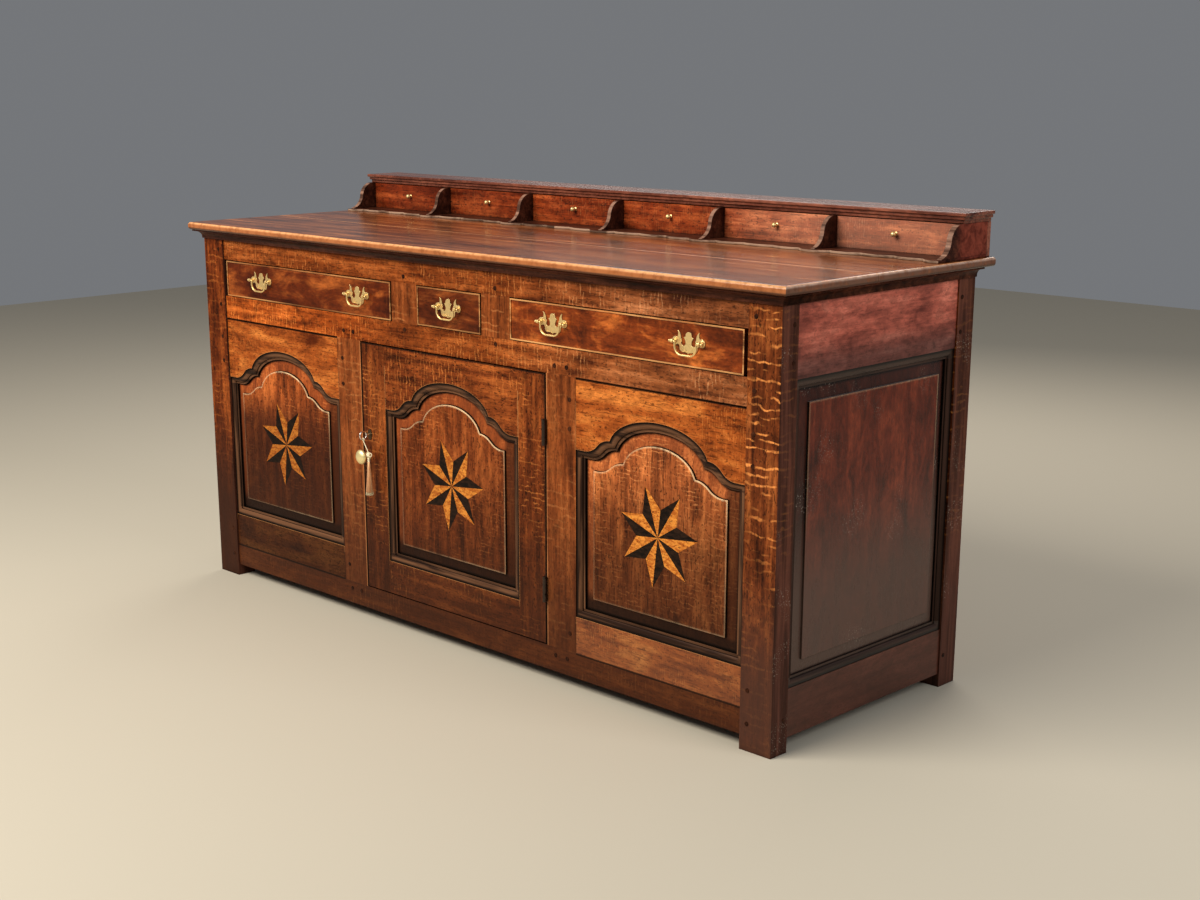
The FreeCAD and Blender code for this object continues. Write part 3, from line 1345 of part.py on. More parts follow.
# Every sub-part is sound before it is written
doc.recompute()
doc.removeObject(probe.Name)
for item in doc.Objects:
    if "Invalid" in item.State or "Error" in item.State:
        raise RuntimeError(f"{item.Name}: {item.State}")
os.makedirs("parts", exist_ok=True)
for sub_part in nodes:
    shape = sub_part.Shape
    if shape.isNull() or not shape.isValid() or not shape.Solids:
        raise RuntimeError(f"{sub_part.Label}: no sound solid")
    shape.exportStep(f"parts/{sub_part.Label}.step")
    print(sub_part.Label, len(shape.Solids), round(shape.Volume / 1000))
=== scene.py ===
# %% [markdown]
# # An old oak dresser base
#
# A low kitchen dresser: three drawers, a cupboard door between two fixed panels, and a gallery of
# spice drawers along the back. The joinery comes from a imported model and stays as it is. This
# lesson gives it its looks: waxed oak with bright rays, two woods in the stars, polished brass,
# and a silk tassel on the key.

# %% Load the joinery as a fixed frame
import math
import random
from functools import partial

import bmesh
import bpy
from mathutils import Matrix, Vector

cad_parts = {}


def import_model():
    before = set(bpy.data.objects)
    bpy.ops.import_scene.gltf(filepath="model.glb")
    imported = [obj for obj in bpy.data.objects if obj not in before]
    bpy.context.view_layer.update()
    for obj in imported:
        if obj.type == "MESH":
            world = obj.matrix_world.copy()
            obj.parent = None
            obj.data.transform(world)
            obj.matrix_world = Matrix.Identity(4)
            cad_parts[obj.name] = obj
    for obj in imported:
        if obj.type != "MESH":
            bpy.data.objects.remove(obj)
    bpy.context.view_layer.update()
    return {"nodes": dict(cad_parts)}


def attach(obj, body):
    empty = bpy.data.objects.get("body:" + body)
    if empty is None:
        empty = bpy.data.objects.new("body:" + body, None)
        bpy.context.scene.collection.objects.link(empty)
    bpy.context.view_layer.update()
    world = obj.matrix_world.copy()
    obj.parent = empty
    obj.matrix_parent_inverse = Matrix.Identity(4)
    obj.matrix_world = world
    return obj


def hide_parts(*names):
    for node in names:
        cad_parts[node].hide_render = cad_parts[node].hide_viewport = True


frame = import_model()
nodes = frame["nodes"]
random.seed(7)

# %% [markdown]
# ## The camera
#
# The photograph was taken from the front right, a little above the top, with a short telephoto
# lens. The perspective of the straight edges gives the place, the turn and the lens. The picture was
# cropped, so its middle isn't the lens's axis, and the camera gets a small shift.

# %% Camera
def put(name, data):
    """Makes an object and links it to the scene."""
    made = bpy.data.objects.new(name, data)
    bpy.context.scene.collection.objects.link(made)
    return made


camera_data = bpy.data.cameras.new("camera")
camera_data.lens = 52.31
camera_data.sensor_width = 36.0
camera_data.shift_x = 0.0263
camera_data.shift_y = 0.0552
camera = put("camera", camera_data)
camera.location = (2.7606, -2.6671, 1.2386)
camera.rotation_euler = (math.radians(75.49), math.radians(0.16), math.radians(45.32))
bpy.context.scene.camera = camera
print("camera at", tuple(round(c, 3) for c in camera.location))

# %% [markdown]
# ## Small helpers for shader nodes
#
# A procedural material is a graph. It could be wired by hand in the shader editor, but a script can
# be read and run again. Each helper adds one node to the material that was started last, so a recipe
# reads from top to bottom.

# %% Nodes and numbers
SHARP = 0.0005


def plug(value, node, key):
    """Feeds one input of a node: a socket becomes a link, and a value is set."""
    if isinstance(value, bpy.types.NodeSocket):
        tree.links.new(value, node.inputs[key])
    else:
        node.inputs[key].default_value = value


def add(kind, inputs=None, **settings):
    """Adds a shader node and fills its inputs, by name or by number."""
    made = tree.nodes.new("ShaderNode" + kind)
    for key, value in settings.items():
        setattr(made, key, value)
    for key, value in (inputs or {}).items():
        plug(value, made, key)
    return made


def maths(operation, first, second=0.0, clamp=False):
    """One arithmetic step."""
    made = add("Math", {0: first, 1: second}, operation=operation)
    made.use_clamp = clamp
    return made.outputs[0]


# What two masks share, the larger of two, a sum, a difference, a quotient, the distance from zero.
times = partial(maths, "MULTIPLY")
either = partial(maths, "MAXIMUM")
plus = partial(maths, "ADD")
minus = partial(maths, "SUBTRACT")
over = partial(maths, "DIVIDE")
unsigned = partial(maths, "ABSOLUTE")


def fit(value, low, high, start=0.0, end=1.0):
    """Maps a range to another with soft ends."""
    made = add("MapRange", {"Value": value, "From Min": low, "From Max": high,
                            "To Min": start, "To Max": end}, interpolation_type="SMOOTHSTEP")
    return made.outputs[0]


def between(value, low, high, soft):
    """1 between two values, with soft ends."""
    rising = fit(value, low - soft, low)
    return times(rising, fit(value, high + soft, high))


def past(value, limit):
    """1 beyond a limit, with an end as sharp as a joint."""
    return fit(value, limit - SHARP, limit + SHARP)


def before(value, limit):
    """1 short of a limit."""
    return fit(value, limit + SHARP, limit - SHARP)


print("number helpers ready")

# %% Colours and patterns
def rgb(red, green, blue):
    """A colour given as display values from 0 to 255."""
    values = [c / 255 for c in (red, green, blue)]
    linear = [c / 12.92 if c <= 0.04045 else ((c + 0.055) / 1.055) ** 2.4 for c in values]
    return tuple(linear) + (1.0,)


def mix(factor, first, second, blend="MIX"):
    """Mixes two colours."""
    inputs = {0: factor, 6: first, 7: second}
    return add("Mix", inputs, data_type="RGBA", blend_type=blend).outputs[2]


def tint(factor, colour, red, green, blue):
    """Multiplies a colour, so that its grain still shows."""
    return mix(factor, colour, (red, green, blue, 1.0), "MULTIPLY")


def noise(vector, scale, detail=3.0, rough=0.55, distort=0.0):
    """Cloudy values from 0 to 1."""
    made = add("TexNoise", {"Vector": vector, "Scale": scale, "Detail": detail,
                            "Roughness": rough, "Distortion": distort})
    return made.outputs["Fac"]


def grained(vector, grain, detail=3.0, rough=0.55, distort=0.0):
    """Noise drawn out along the first axis, with a scale along the grain and one across."""
    along, across = grain
    scale = (along, across, across)
    squeezed = add("VectorMath", {0: vector, 1: scale}, operation="MULTIPLY").outputs[0]
    return noise(squeezed, 1.0, detail, rough, distort)


print("colour helpers ready")

# %% Materials and places
def new_material(name):
    """Starts a material and returns it with its main shader."""
    global tree
    made = bpy.data.materials.new(name)
    made.use_nodes = True
    tree = made.node_tree
    return made, tree.nodes["Principled BSDF"]


def spots():
    """Object coordinates in metres."""
    return add("TexCoord").outputs["Object"]


def place():
    """Object coordinates split into X, Y and Z."""
    return add("SeparateXYZ", {0: spots()}).outputs


def facing():
    """The surface's direction, split into X, Y and Z."""
    return add("SeparateXYZ", {0: add("NewGeometry").outputs["Normal"]}).outputs


def wear(material, *parts):
    """Gives CAD nodes a material."""
    for part in parts:
        nodes[part].data.materials.clear()
        nodes[part].data.materials.append(material)


print("material helpers ready")

# %% [markdown]
# ## Waxed oak: boards, grain and rays
#
# Quarter-sawn oak has straight grain with dark pores, wide cloudy tones, and bright rays that wriggle
# across the grain. A picture of oak would repeat and stop at the edges. Noise fills space, so it runs
# true over end grain and corners: squeezed along the grain it makes the tones, and the crests of a
# wave across it, broken into squiggles, make the rays. Each board is a cell of space with an offset
# and a tone of its own.

# %% Boards, grain and rays
AXIS_ORDER = {"x": (0, 1, 2), "y": (1, 0, 2), "z": (2, 1, 0)}
SINGLE = (0, 0)
NODE_SPREAD = 91.0


def board_number(xyz, cells):
    """A number from 0 to 1 for each board: cells to a metre, and their start, for each axis."""
    steps = []
    for axis, (count, start) in enumerate(cells):
        moved = minus(xyz[axis], start)
        steps.append(maths("FLOOR", times(moved, count)))
    own = times(add("ObjectInfo").outputs["Random"], NODE_SPREAD)
    steps[2] = plus(steps[2], own)
    cell = add("CombineXYZ", {0: steps[0], 1: steps[1], 2: steps[2]}).outputs[0]
    return add("TexWhiteNoise", {"Vector": cell}).outputs["Value"]


def along_grain(xyz, grain, shift):
    """Coordinates with the grain as their first axis, moved for each board."""
    order = AXIS_ORDER[grain]
    return add("CombineXYZ", {0: plus(xyz[order[0]], shift),
                              1: plus(xyz[order[1]], shift),
                              2: xyz[order[2]]}).outputs[0]


def tones(value, dark, middle, light):
    """A ramp of three colours."""
    made = add("ValToRGB", {"Fac": value})
    ramp = made.color_ramp
    ramp.elements[0].position = 0.36
    ramp.elements[0].color = dark
    ramp.elements[1].position = 0.66
    ramp.elements[1].color = light
    ramp.elements.new(0.5).color = middle
    return made.outputs["Color"]


def squiggles(vector, ray_size):
    """Rays: crests of a wave across the grain, broken into pieces and gathered in patches."""
    wave = add("TexWave", {"Vector": vector, "Scale": 22 / ray_size, "Distortion": 4.6,
                           "Detail": 2.0, "Detail Scale": 1.5,
                           "Detail Roughness": 0.6}).outputs["Fac"]
    broken = grained(vector, (70 / ray_size, 30 / ray_size), 1.0)
    gathered = grained(vector, (6, 10), 2.0)
    lines = times(fit(wave, 0.70, 0.98), fit(broken, 0.44, 0.60))
    return times(lines, fit(gathered, 0.40, 0.62, 0.12, 1.0))


print("grain helpers ready")

# %% [markdown]
# ## Waxed oak: pores, dirt with painted corner shade, and gloss
#
# Pores are short dark dashes, duller than the wax round them and a little deeper, so one mask drives
# the colour, the roughness and the bump. Old wax and dirt gather in corners, and shade falls there,
# which ambient occlusion finds: it measures how much a point is closed in. The corners get painted
# shade and dirt together.

# %% Pores, dirt with painted corner shade, and gloss
SHADE_AND_GRIME_BLACK = rgb(10, 6, 4)
POROUS = 0.25
PORE_GRAIN = (30, 420)
DOT_GRAIN = (130, 280)
MOTTLE_GRAIN = (50, 110)
WAVE_GRAIN = (7, 24)
BUMP_DEPTH = 0.0012


def pore_marks(vector, specks):
    """Dashes along the grain and smaller dots between them."""
    dashes = grained(vector, PORE_GRAIN, 2.0, 0.6)
    dots = grained(vector, DOT_GRAIN, 2.0, 0.6, 0.5)
    marks = either(fit(dashes, 0.56, 0.70), fit(dots, 0.57, 0.66))
    return times(marks, specks, True)


def board_tone(colour, vector, board, vary, mottle):
    """Each board is a little lighter or darker than the next, and mottled in itself."""
    mottled = grained(vector, MOTTLE_GRAIN, 3.0, 0.65)
    level = times(fit(board, 0.0, 1.0, 1 - vary, 1 + vary),
                  fit(mottled, 0.34, 0.66, 1 - mottle, 1 + mottle))
    grey = add("CombineColor", {0: level, 1: level, 2: level}).outputs[0]
    return mix(1.0, colour, grey, "MULTIPLY")


def corner_shade_and_dirt(colour, shade_and_dirt):
    """Painted shade and soiling: darkens narrow corners fully and wide ones a little."""
    near = add("AmbientOcclusion", {"Distance": 0.010}, samples=6).outputs["AO"]
    wide = add("AmbientOcclusion", {"Distance": 0.05}, samples=6).outputs["AO"]
    shade_and_grime = either(fit(near, 0.75, 0.3), fit(wide, 0.7, 0.2, 0.0, 0.6))
    return mix(times(shade_and_grime, shade_and_dirt, True), colour, SHADE_AND_GRIME_BLACK)


def waxed_surface(shader, vector, cloud, marks, gloss, relief):
    """Uneven gloss, duller in the pores, over a slightly wavy surface."""
    uneven = times(minus(cloud, 0.5), relief)
    dull = times(marks, relief)
    plug(plus(plus(uneven, gloss), dull, True), shader, "Roughness")
    waves = times(grained(vector, WAVE_GRAIN, 2.0), 1.2)
    height = minus(waves, times(marks, 0.3))
    bump = add("Bump", {"Height": height, "Strength": relief, "Distance": BUMP_DEPTH})
    plug(bump.outputs[0], shader, "Normal")


print("surface helpers ready")

# %% [markdown]
# ## Waxed oak: the recipe
#
# One function makes every oak, from four colours and a few shares. Its parts come in the order in
# which a board gets them: tone, rays, pores, stains, what its place did to it with the light and
# shade painted there, dirt with painted corner shade, and wax.

# %% Oak recipe
BOARD_SHIFT = 3.7
STREAK_GRAIN = (3.0, 60)
CLOUD_GRAIN = (7.0, 15)
STAIN_GRAIN = (9, 16)
WAX_ROUGHNESS = 0.14


def oak(name, grain, parts, *colours, rays=0.5, ray_size=1.0, specks=0.5, blotch=0.35, gloss=0.42,
        coat=0.02, mirror=0.06, shade_and_dirt=0.85, vary=0.1, mottle=0.2, relief=0.22, stained=0.6,
        repaint_by_place=None, cross=None, rayed=None, cut_x=SINGLE, cut_y=SINGLE, cut_z=SINGLE):
    """Waxed oak along one axis, for the parts named. Its colours are the dark, middle and light
    tones and the rays. repaint_by_place repaints by place, painted light and shade among it,
    cross marks level boards, rayed thins the rays."""
    dark, middle, light, ray = [rgb(*colour) for colour in colours]
    material, shader = new_material(name)
    xyz = place()
    board = board_number(xyz, (cut_x, cut_y, cut_z))
    shift = times(board, BOARD_SHIFT)
    vector = along_grain(xyz, grain, shift)
    if cross:
        level = along_grain(xyz, "x", shift)
        vector = add("Mix", {0: cross(xyz), 4: vector, 5: level}, data_type="VECTOR").outputs[1]

    streak = grained(vector, STREAK_GRAIN, 4.0, 0.6, 0.5)
    cloud = grained(vector, CLOUD_GRAIN, 4.0, 0.6, 0.9)
    tone = plus(times(streak, 1 - blotch), times(cloud, blotch))
    colour = tones(tone, dark, middle, light)
    lines = times(squiggles(vector, ray_size), rays, True)
    if rayed:
        lines = times(lines, rayed(xyz))
    colour = mix(lines, colour, ray)

    marks = pore_marks(vector, specks)
    shadow = tuple(c * POROUS for c in dark[:3]) + (1.0,)
    colour = mix(marks, colour, shadow)
    spread = grained(vector, STAIN_GRAIN, 4.0, 0.65, 1.0)
    colour = mix(fit(spread, 0.58, 0.74, 0.0, stained), colour, shadow)
    colour = board_tone(colour, vector, board, vary, mottle)
    if repaint_by_place:
        colour = repaint_by_place(colour, xyz, streak)
    # Painted shade and dirt in the corners, found by ambient occlusion.
    plug(corner_shade_and_dirt(colour, shade_and_dirt), shader, "Base Color")

    waxed_surface(shader, vector, cloud, marks, gloss, relief)
    plug(mirror, shader, "Specular IOR Level")
    plug(coat, shader, "Coat Weight")
    plug(WAX_ROUGHNESS, shader, "Coat Roughness")
    wear(material, *parts)
    print("oak:", name, "on", *parts)


print("oak recipe ready")

# %% [markdown]
# ## Repainting by place
#
# Wax builds up in a moulding and rubs off an arris, the sharp edge where two faces meet, and shade
# in the hollows and highlights on the edges are painted as well. This could be painted by hand. The
# frame's face is a known plane, though, so the depth behind it says what a point is: face,
# moulding, bevel or field.

# %% Places and waxes
FRONT_FACE = -0.296
END_FACE = 0.887
POST_INNER = 0.815
MUNTIN_OUTER = 0.380
MUNTIN_INNER = 0.296
LOW_RAIL_TOP = 0.080
MIDDLE_RAIL_LOW = 0.648
STAR_ACROSS = 0.5975
STAR_HEIGHT = 0.365
# Black wax and painted shade share one black.
BLACK_WAX_AND_SHADE = rgb(20, 13, 9)
BROWN_WAX = rgb(112, 76, 52)
DARK_WAX = rgb(66, 44, 35)
HOLLOW_WAX = rgb(44, 28, 20)
# The gold is wear on the arris with a painted highlight.
GOLD_WEAR_AND_HIGHLIGHT = rgb(255, 222, 174)
print("panel middles:", STAR_ACROSS)


# %% Where a point lies
def front_depth(xyz):
    """How far a point lies behind the front's face."""
    return minus(xyz[1], FRONT_FACE)


def end_depth(xyz):
    """How far a point lies behind an end's face."""
    return minus(END_FACE, unsigned(xyz[0]))


def local_across(xyz):
    """How far a point lies to the right of its own panel's middle."""
    step = maths("ROUND", over(xyz[0], STAR_ACROSS))
    return minus(xyz[0], times(step, STAR_ACROSS))


def edge_wear_and_light(radius, full=0.93):
    """1 beside an edge: there a rounded normal leaves the flat one."""
    rounded = add("Bevel", {"Radius": radius}, samples=6).outputs[0]
    flat = add("NewGeometry").outputs["Normal"]
    likeness = add("VectorMath", {0: rounded, 1: flat}, operation="DOT_PRODUCT")
    return fit(likeness.outputs["Value"], 0.998, full)


print("place helpers ready")

# %% Age, painted shade and painted sheen over a whole face
LOW_SHADE_BROWN = rgb(58, 32, 20)
SCRATCH = rgb(206, 190, 172)
SCRATCH_GRAIN = (60, 420)


def low_shade(colour, xyz, strength=0.5):
    """Painted shade: feet and low rails are darker toward the floor."""
    return mix(fit(xyz[2], 0.46, 0.08, 0.0, strength), colour, LOW_SHADE_BROWN)


def right_sheen(colour, xyz):
    """Painted sheen: the right of the front is paler and less red."""
    return tint(fit(xyz[0], -0.1, 0.75), colour, 1.12, 1.36, 1.75)


def scuffed(colour):
    """Short pale scratches, gathered in a few patches."""
    spot = spots()
    slanted = add("VectorRotate", {"Vector": spot, "Angle": 0.7}, rotation_type="X_AXIS")
    fine = grained(slanted.outputs[0], SCRATCH_GRAIN, 1.0)
    gathered = noise(spot, 9.0, 1.0)
    marks = times(fit(fine, 0.66, 0.71), fit(gathered, 0.56, 0.66))
    return mix(times(marks, 0.7), colour, SCRATCH)


print("age helpers ready")

# %% [markdown]
# ## Frames and their mouldings
#
# Round each panel runs a moulding: a narrow sunk line, the quirk, a round part, the ovolo, and a
# thin flat one, the fillet. Polish stays on the raised parts, with a painted highlight where they
# face up, and the rest is painted black: black wax and painted shade. A function that returns one
# lets each kind of frame set its own shares.

# %% Mouldings and frames
MOULDING = (0.0012, 0.0124)
OVOLO = (0.0021, 0.0052)
FILLET = (0.0073, 0.0077)
PANEL_SPAN = (0.145, 0.60)
LIP_WEAR_AND_HIGHLIGHT = rgb(226, 160, 98)


def moulded(colour, depth, streak, light=BROWN_WAX):
    """A black quirk and groove, black wax with painted shade, and a brown ovolo and fillet with a
    painted highlight where they face up.
    """
    brown = mix(fit(streak, 0.36, 0.62), HOLLOW_WAX, light)
    # Painted highlight: the ovolo and fillet are lighter where they face up.
    brown = tint(fit(facing()[2], 0.15, 0.6), brown, 1.12, 1.12, 1.12)
    # Painted shade and black wax fill the moulding's hollows.
    colour = mix(between(depth, *MOULDING, 0.0003), colour, BLACK_WAX_AND_SHADE)
    bands = either(between(depth, *OVOLO, 0.0006), between(depth, *FILLET, 0.0002))
    return mix(bands, colour, brown)


def panel_rail_light_and_joints(colour, xyz):
    """Fixed panels: painted shade darkens the lower rails on the left and a painted sheen pales them on
    the right; dark joints, and painted shade along the gap under the middle rail.
    """
    low = fit(xyz[2], 0.2, 0.15)
    pale = times(low, fit(xyz[0], 0.2, 0.4, 0.0, 0.65))
    dark = times(low, fit(xyz[0], -0.2, -0.4, 0.0, 0.7))
    # Painted sheen on the right of the lower rails, painted shade on the left.
    colour = tint(pale, colour, 2.8, 3.5, 4.8)
    colour = tint(dark, colour, 0.25, 0.3, 0.4)
    # Dark joints; the line under the middle rail is painted shade from its gap.
    across = unsigned(xyz[0])
    beside = either(between(across, MUNTIN_OUTER - 0.0004, MUNTIN_OUTER + 0.0010, 0.0004),
                    between(across, POST_INNER - 0.0010, POST_INNER + 0.0004, 0.0004))
    level = either(fit(xyz[2], LOW_RAIL_TOP + 0.0026, LOW_RAIL_TOP + 0.0020),
                   fit(xyz[2], MIDDLE_RAIL_LOW - 0.0042, MIDDLE_RAIL_LOW - 0.0036))
    return mix(times(either(beside, level), 0.85), colour, BLACK_WAX_AND_SHADE)


def framed(depth_of, shade=0.75, lip=0.0, joints=False, wax=BROWN_WAX):
    """Frame members: painted shade toward the floor, wax and painted shade in the moulding beside the
    panel, and a lip round it, pale from wear and a painted highlight.
    """
    def repaint_by_place(colour, xyz, streak):
        colour = low_shade(colour, xyz, shade)
        depth = depth_of(xyz)
        if joints:
            colour = panel_rail_light_and_joints(colour, xyz)
        if lip:
            # The lip: wear and a painted highlight along the frame's edge by the panel.
            level = between(xyz[2], *PANEL_SPAN, 0.002)
            face = times(fit(depth, 0.0012, 0.0008), level)
            rubbed_and_lit = times(edge_wear_and_light(0.0022), times(face, lip))
            colour = mix(rubbed_and_lit, colour, LIP_WEAR_AND_HIGHLIGHT)
        return moulded(colour, depth, streak, wax)
    return repaint_by_place


print("frame finishes ready")

# %% [markdown]
# ## Rails, muntins and the door
#
# Rails are the level members of the frame, and muntins the upright ones between the posts. Each
# adds what its own place has done, and the light and shade painted there.

# %% Rails, muntins and the door
ARRIS_WEAR_AND_HIGHLIGHT = rgb(206, 138, 86)
DOOR_RAIL_HALF = 0.214
DOOR_LOW_RAIL = 0.177
DOOR_ARCH_FOOT = 0.489


def end_framed(colour, xyz, streak):
    """End rails: red in the light, grey-brown along the lower edge of the top rail."""
    colour = tint(between(xyz[2], 0.60, 0.715, 0.06), colour, 0.32, 0.42, 0.5)
    return framed(end_depth, 0.9, wax=DARK_WAX)(colour, xyz, streak)


def railed(colour, xyz, streak):
    """Front rails: a painted sheen greys the right, painted light warms the left, dark along the top,
    dark joints with painted shade in the gap under the middle rail.
    """
    # Painted sheen greys the right; painted light warms the left.
    grey_sheen = times(fit(xyz[0], 0.1, 0.7), fit(xyz[2], 0.55, 0.6))
    colour = tint(grey_sheen, colour, 1.05, 1.4, 2.5)
    colour = tint(fit(xyz[2], 0.76, 0.78), colour, 0.74, 0.74, 0.78)
    warm_light = times(fit(xyz[0], -0.15, -0.4), between(xyz[2], 0.60, 0.72, 0.03))
    colour = tint(warm_light, colour, 1.4, 1.25, 1.0)
    colour = framed(front_depth, 0.88)(colour, xyz, streak)
    # Dark joints, with painted shade in the gap under the middle rail.
    joints = either(between(xyz[2], MIDDLE_RAIL_LOW - 0.0005, MIDDLE_RAIL_LOW + 0.0012, 0.0004),
                    between(xyz[2], LOW_RAIL_TOP - 0.0016, LOW_RAIL_TOP + 0.0005, 0.0004))
    beyond = fit(unsigned(xyz[0]), MUNTIN_OUTER - 0.001, MUNTIN_OUTER + 0.001, 0.0, 0.85)
    return mix(times(joints, beyond), colour, BLACK_WAX_AND_SHADE)


def beside_door(colour, xyz, streak):
    """Muntins: an arris toward the door, pale from wear with a painted highlight, and painted shade and
    soiling in the gap beside it.
    """
    colour = framed(front_depth)(colour, xyz, streak)
    across = unsigned(xyz[0])
    # Wear and a painted highlight on the arris toward the door.
    rubbed_and_lit = between(across, MUNTIN_INNER + 0.0018, MUNTIN_INNER + 0.0032, 0.0006)
    rubbed_and_lit = times(rubbed_and_lit, fit(streak, 0.4, 0.6, 0.1, 0.6))
    colour = mix(rubbed_and_lit, colour, ARRIS_WEAR_AND_HIGHLIGHT)
    # Painted shade, with some soiling, in the gap beside the door.
    gap = between(across, MUNTIN_INNER - 0.006, MUNTIN_INNER + 0.001, 0.0006)
    return mix(times(gap, 0.9), colour, BLACK_WAX_AND_SHADE)


def door_framed(colour, xyz, streak):
    """Door frame: as the other frames, with painted shade and soiling along its own outer edges, by the
    gap.
    """
    colour = framed(front_depth, 0.75, 0.5)(colour, xyz, streak)
    colour = tint(fit(xyz[0], -0.19, -0.23), colour, 0.8, 0.8, 0.82)
    # Painted shade of the gap round the door, with some soiling.
    beside = fit(unsigned(xyz[0]), 0.2908, 0.2916)
    shade_and_dirt = either(beside, fit(xyz[2], 0.6424, 0.6432))
    return mix(times(shade_and_dirt, 0.85), colour, BLACK_WAX_AND_SHADE)


def door_rails(xyz):
    """1 on the door's level rails, 0 on its stiles."""
    middle = before(unsigned(xyz[0]), DOOR_RAIL_HALF)
    low = before(xyz[2], DOOR_LOW_RAIL)
    high = past(xyz[2], DOOR_ARCH_FOOT)
    return times(middle, either(low, high))


print("rail finishes ready")

# %% [markdown]
# ## Corner posts
#
# A post has a polished front, darker sides like the ends, and a moulded strip toward each panel. The
# surface's direction tells the front from the sides, so one material serves all four posts.

# %% Corner posts
POST_FOOT_SHADE = rgb(74, 43, 29)
POST_LEFT_SHADE = rgb(44, 21, 12)
SIDE_DARK = rgb(58, 33, 25)
SIDE_LIGHT = rgb(104, 62, 50)
END_PANEL_FRONT = -0.253
END_PANEL_BACK = 0.245


def posted(colour, xyz, streak):
    """Corner posts: painted shade at the feet, deepest on the left, a painted sheen to the right,
    moulded strips toward the panels, and dark red sides like the ends.
    """
    # Painted shade at the feet, deepest on the left post; painted sheen to the right.
    colour = mix(fit(xyz[2], 0.40, 0.12, 0.0, 0.85), colour, POST_FOOT_SHADE)
    colour = right_sheen(colour, xyz)
    black = times(fit(xyz[2], 0.5, 0.2, 0.0, 0.65), fit(xyz[0], 0.3, -0.3))
    colour = mix(black, colour, POST_LEFT_SHADE)
    direction = facing()
    away = either(unsigned(direction[0]), direction[1])
    aged = mix(fit(streak, 0.34, 0.66), SIDE_DARK, SIDE_LIGHT)
    colour = mix(fit(away, 0.5, 0.8, 0.0, 0.88), colour, scuffed(aged))
    inward = fit(unsigned(xyz[0]), POST_INNER, POST_INNER - 0.0005)
    strip = moulded(colour, front_depth(xyz), streak)
    colour = mix(inward, colour, strip)
    behind = times(past(xyz[1], END_PANEL_FRONT), before(xyz[1], END_PANEL_BACK))
    end_strip = moulded(colour, end_depth(xyz), streak, DARK_WAX)
    return mix(behind, colour, end_strip)


def post_rays(xyz):
    """The right front post is cut through the rays; the left one and the dark feet show few."""
    return times(fit(xyz[0], -0.5, 0.5, 0.25, 1.0), fit(xyz[2], 0.12, 0.4, 0.2, 1.0))


print("post finishes ready")

# %% [markdown]
# ## Fielded panels
#
# A fielded panel is thick in the middle, the field, and bevelled toward its edges. Hands rub the
# arris round the field until it is pale, and a painted highlight, strongest at the top right, lies
# over it. The Bevel node gives the normal of a rounded edge: where it leaves the true normal, an
# edge is near.

# %% Fielded panels
BEVEL_START = (0.0070, 0.0084)
FIELD_STEP = (0.0050, 0.0080)
GROOVE = (0.0118, 0.0165)
ARRIS_DEPTH = (0.0048, 0.0044)
ARRIS_RADIUS = 0.0060
STAR_CLEAR = (0.0110, 0.0116)
BEVEL_RED = rgb(166, 84, 46)


def field_light(colour, xyz, glow):
    """Light from above brightens the upper fields, the door's less than its neighbours'."""
    beside = fit(unsigned(xyz[0]), 0.25, 0.35, 0.25 * glow, glow)
    beside = times(beside, fit(xyz[0], -0.4, 0.2, 0.75, 1.0))
    return tint(times(fit(xyz[2], 0.34, 0.52), beside), colour, 2.6, 2.7, 2.8)


def field_bevel(colour, xyz, depth, bevel_colour):
    """A red bevel with painted shade below and to the right, and painted shade, black, on the steps at
    both of its ends.
    """
    sloped = fit(depth, *BEVEL_START)
    bevel_tone = low_shade(bevel_colour, xyz, 0.85)
    colour = mix(times(sloped, 0.3), colour, bevel_tone)
    # Painted shade: the lower bevel and the right-hand one face away from the light.
    shaded = either(fit(xyz[2], 0.225, 0.195, 0.0, 0.85),
                    fit(local_across(xyz), 0.158, 0.172, 0.0, 0.6))
    colour = mix(times(sloped, shaded), colour, BLACK_WAX_AND_SHADE)
    # Painted shade in the step up to the field and where the bevel enters the groove.
    colour = mix(between(depth, *FIELD_STEP, 0.0003), colour, BLACK_WAX_AND_SHADE)
    return mix(times(between(depth, *GROOVE, 0.0010), 0.95), colour, BLACK_WAX_AND_SHADE)


def field_arris_wear_and_highlight(xyz, depth, streak, edge):
    """1 on the arris, for its wear and its painted highlight, most at the top right; the star's own
    edges stay clear.
    """
    across = local_across(xyz)
    upward = minus(xyz[2], STAR_HEIGHT)
    away = plus(times(across, across), times(upward, upward))
    arris = times(edge_wear_and_light(ARRIS_RADIUS, 0.98), fit(depth, *ARRIS_DEPTH))
    arris = times(arris, fit(away, *STAR_CLEAR))
    # Painted highlight: strongest high up and on the right of each panel.
    high = times(fit(xyz[2], 0.40, 0.50, 0.2, 1.0), fit(across, -0.06, 0.06, 0.5, 1.0))
    return times(arris, times(high, fit(streak, 0.30, 0.5, 0.4, edge)))


def fielded(depth_of, shade=0.5, edge=0.95, glow=1.0, bevel_colour=BEVEL_RED):
    """Panels: an arris round the field, pale from wear with a painted highlight, a red bevel, and
    painted shade, black, where it enters the groove.
    """
    def repaint_by_place(colour, xyz, streak):
        depth = depth_of(xyz)
        colour = low_shade(field_light(colour, xyz, glow), xyz, shade)
        colour = field_bevel(colour, xyz, depth, bevel_colour)
        return mix(field_arris_wear_and_highlight(xyz, depth, streak, edge), colour, GOLD_WEAR_AND_HIGHLIGHT)
    return repaint_by_place


def panelled(colour, xyz, streak):
    """Front panels: the left one is of darker wood than the other two, and a painted sheen pales the
    right.
    """
    dark = times(fit(xyz[0], -0.25, -0.35), fit(xyz[2], 0.50, 0.40, 0.0, 0.65))
    # Painted sheen on the right.
    colour = right_sheen(mix(dark, colour, rgb(44, 17, 8)), xyz)
    return fielded(front_depth, 0.7)(colour, xyz, streak)


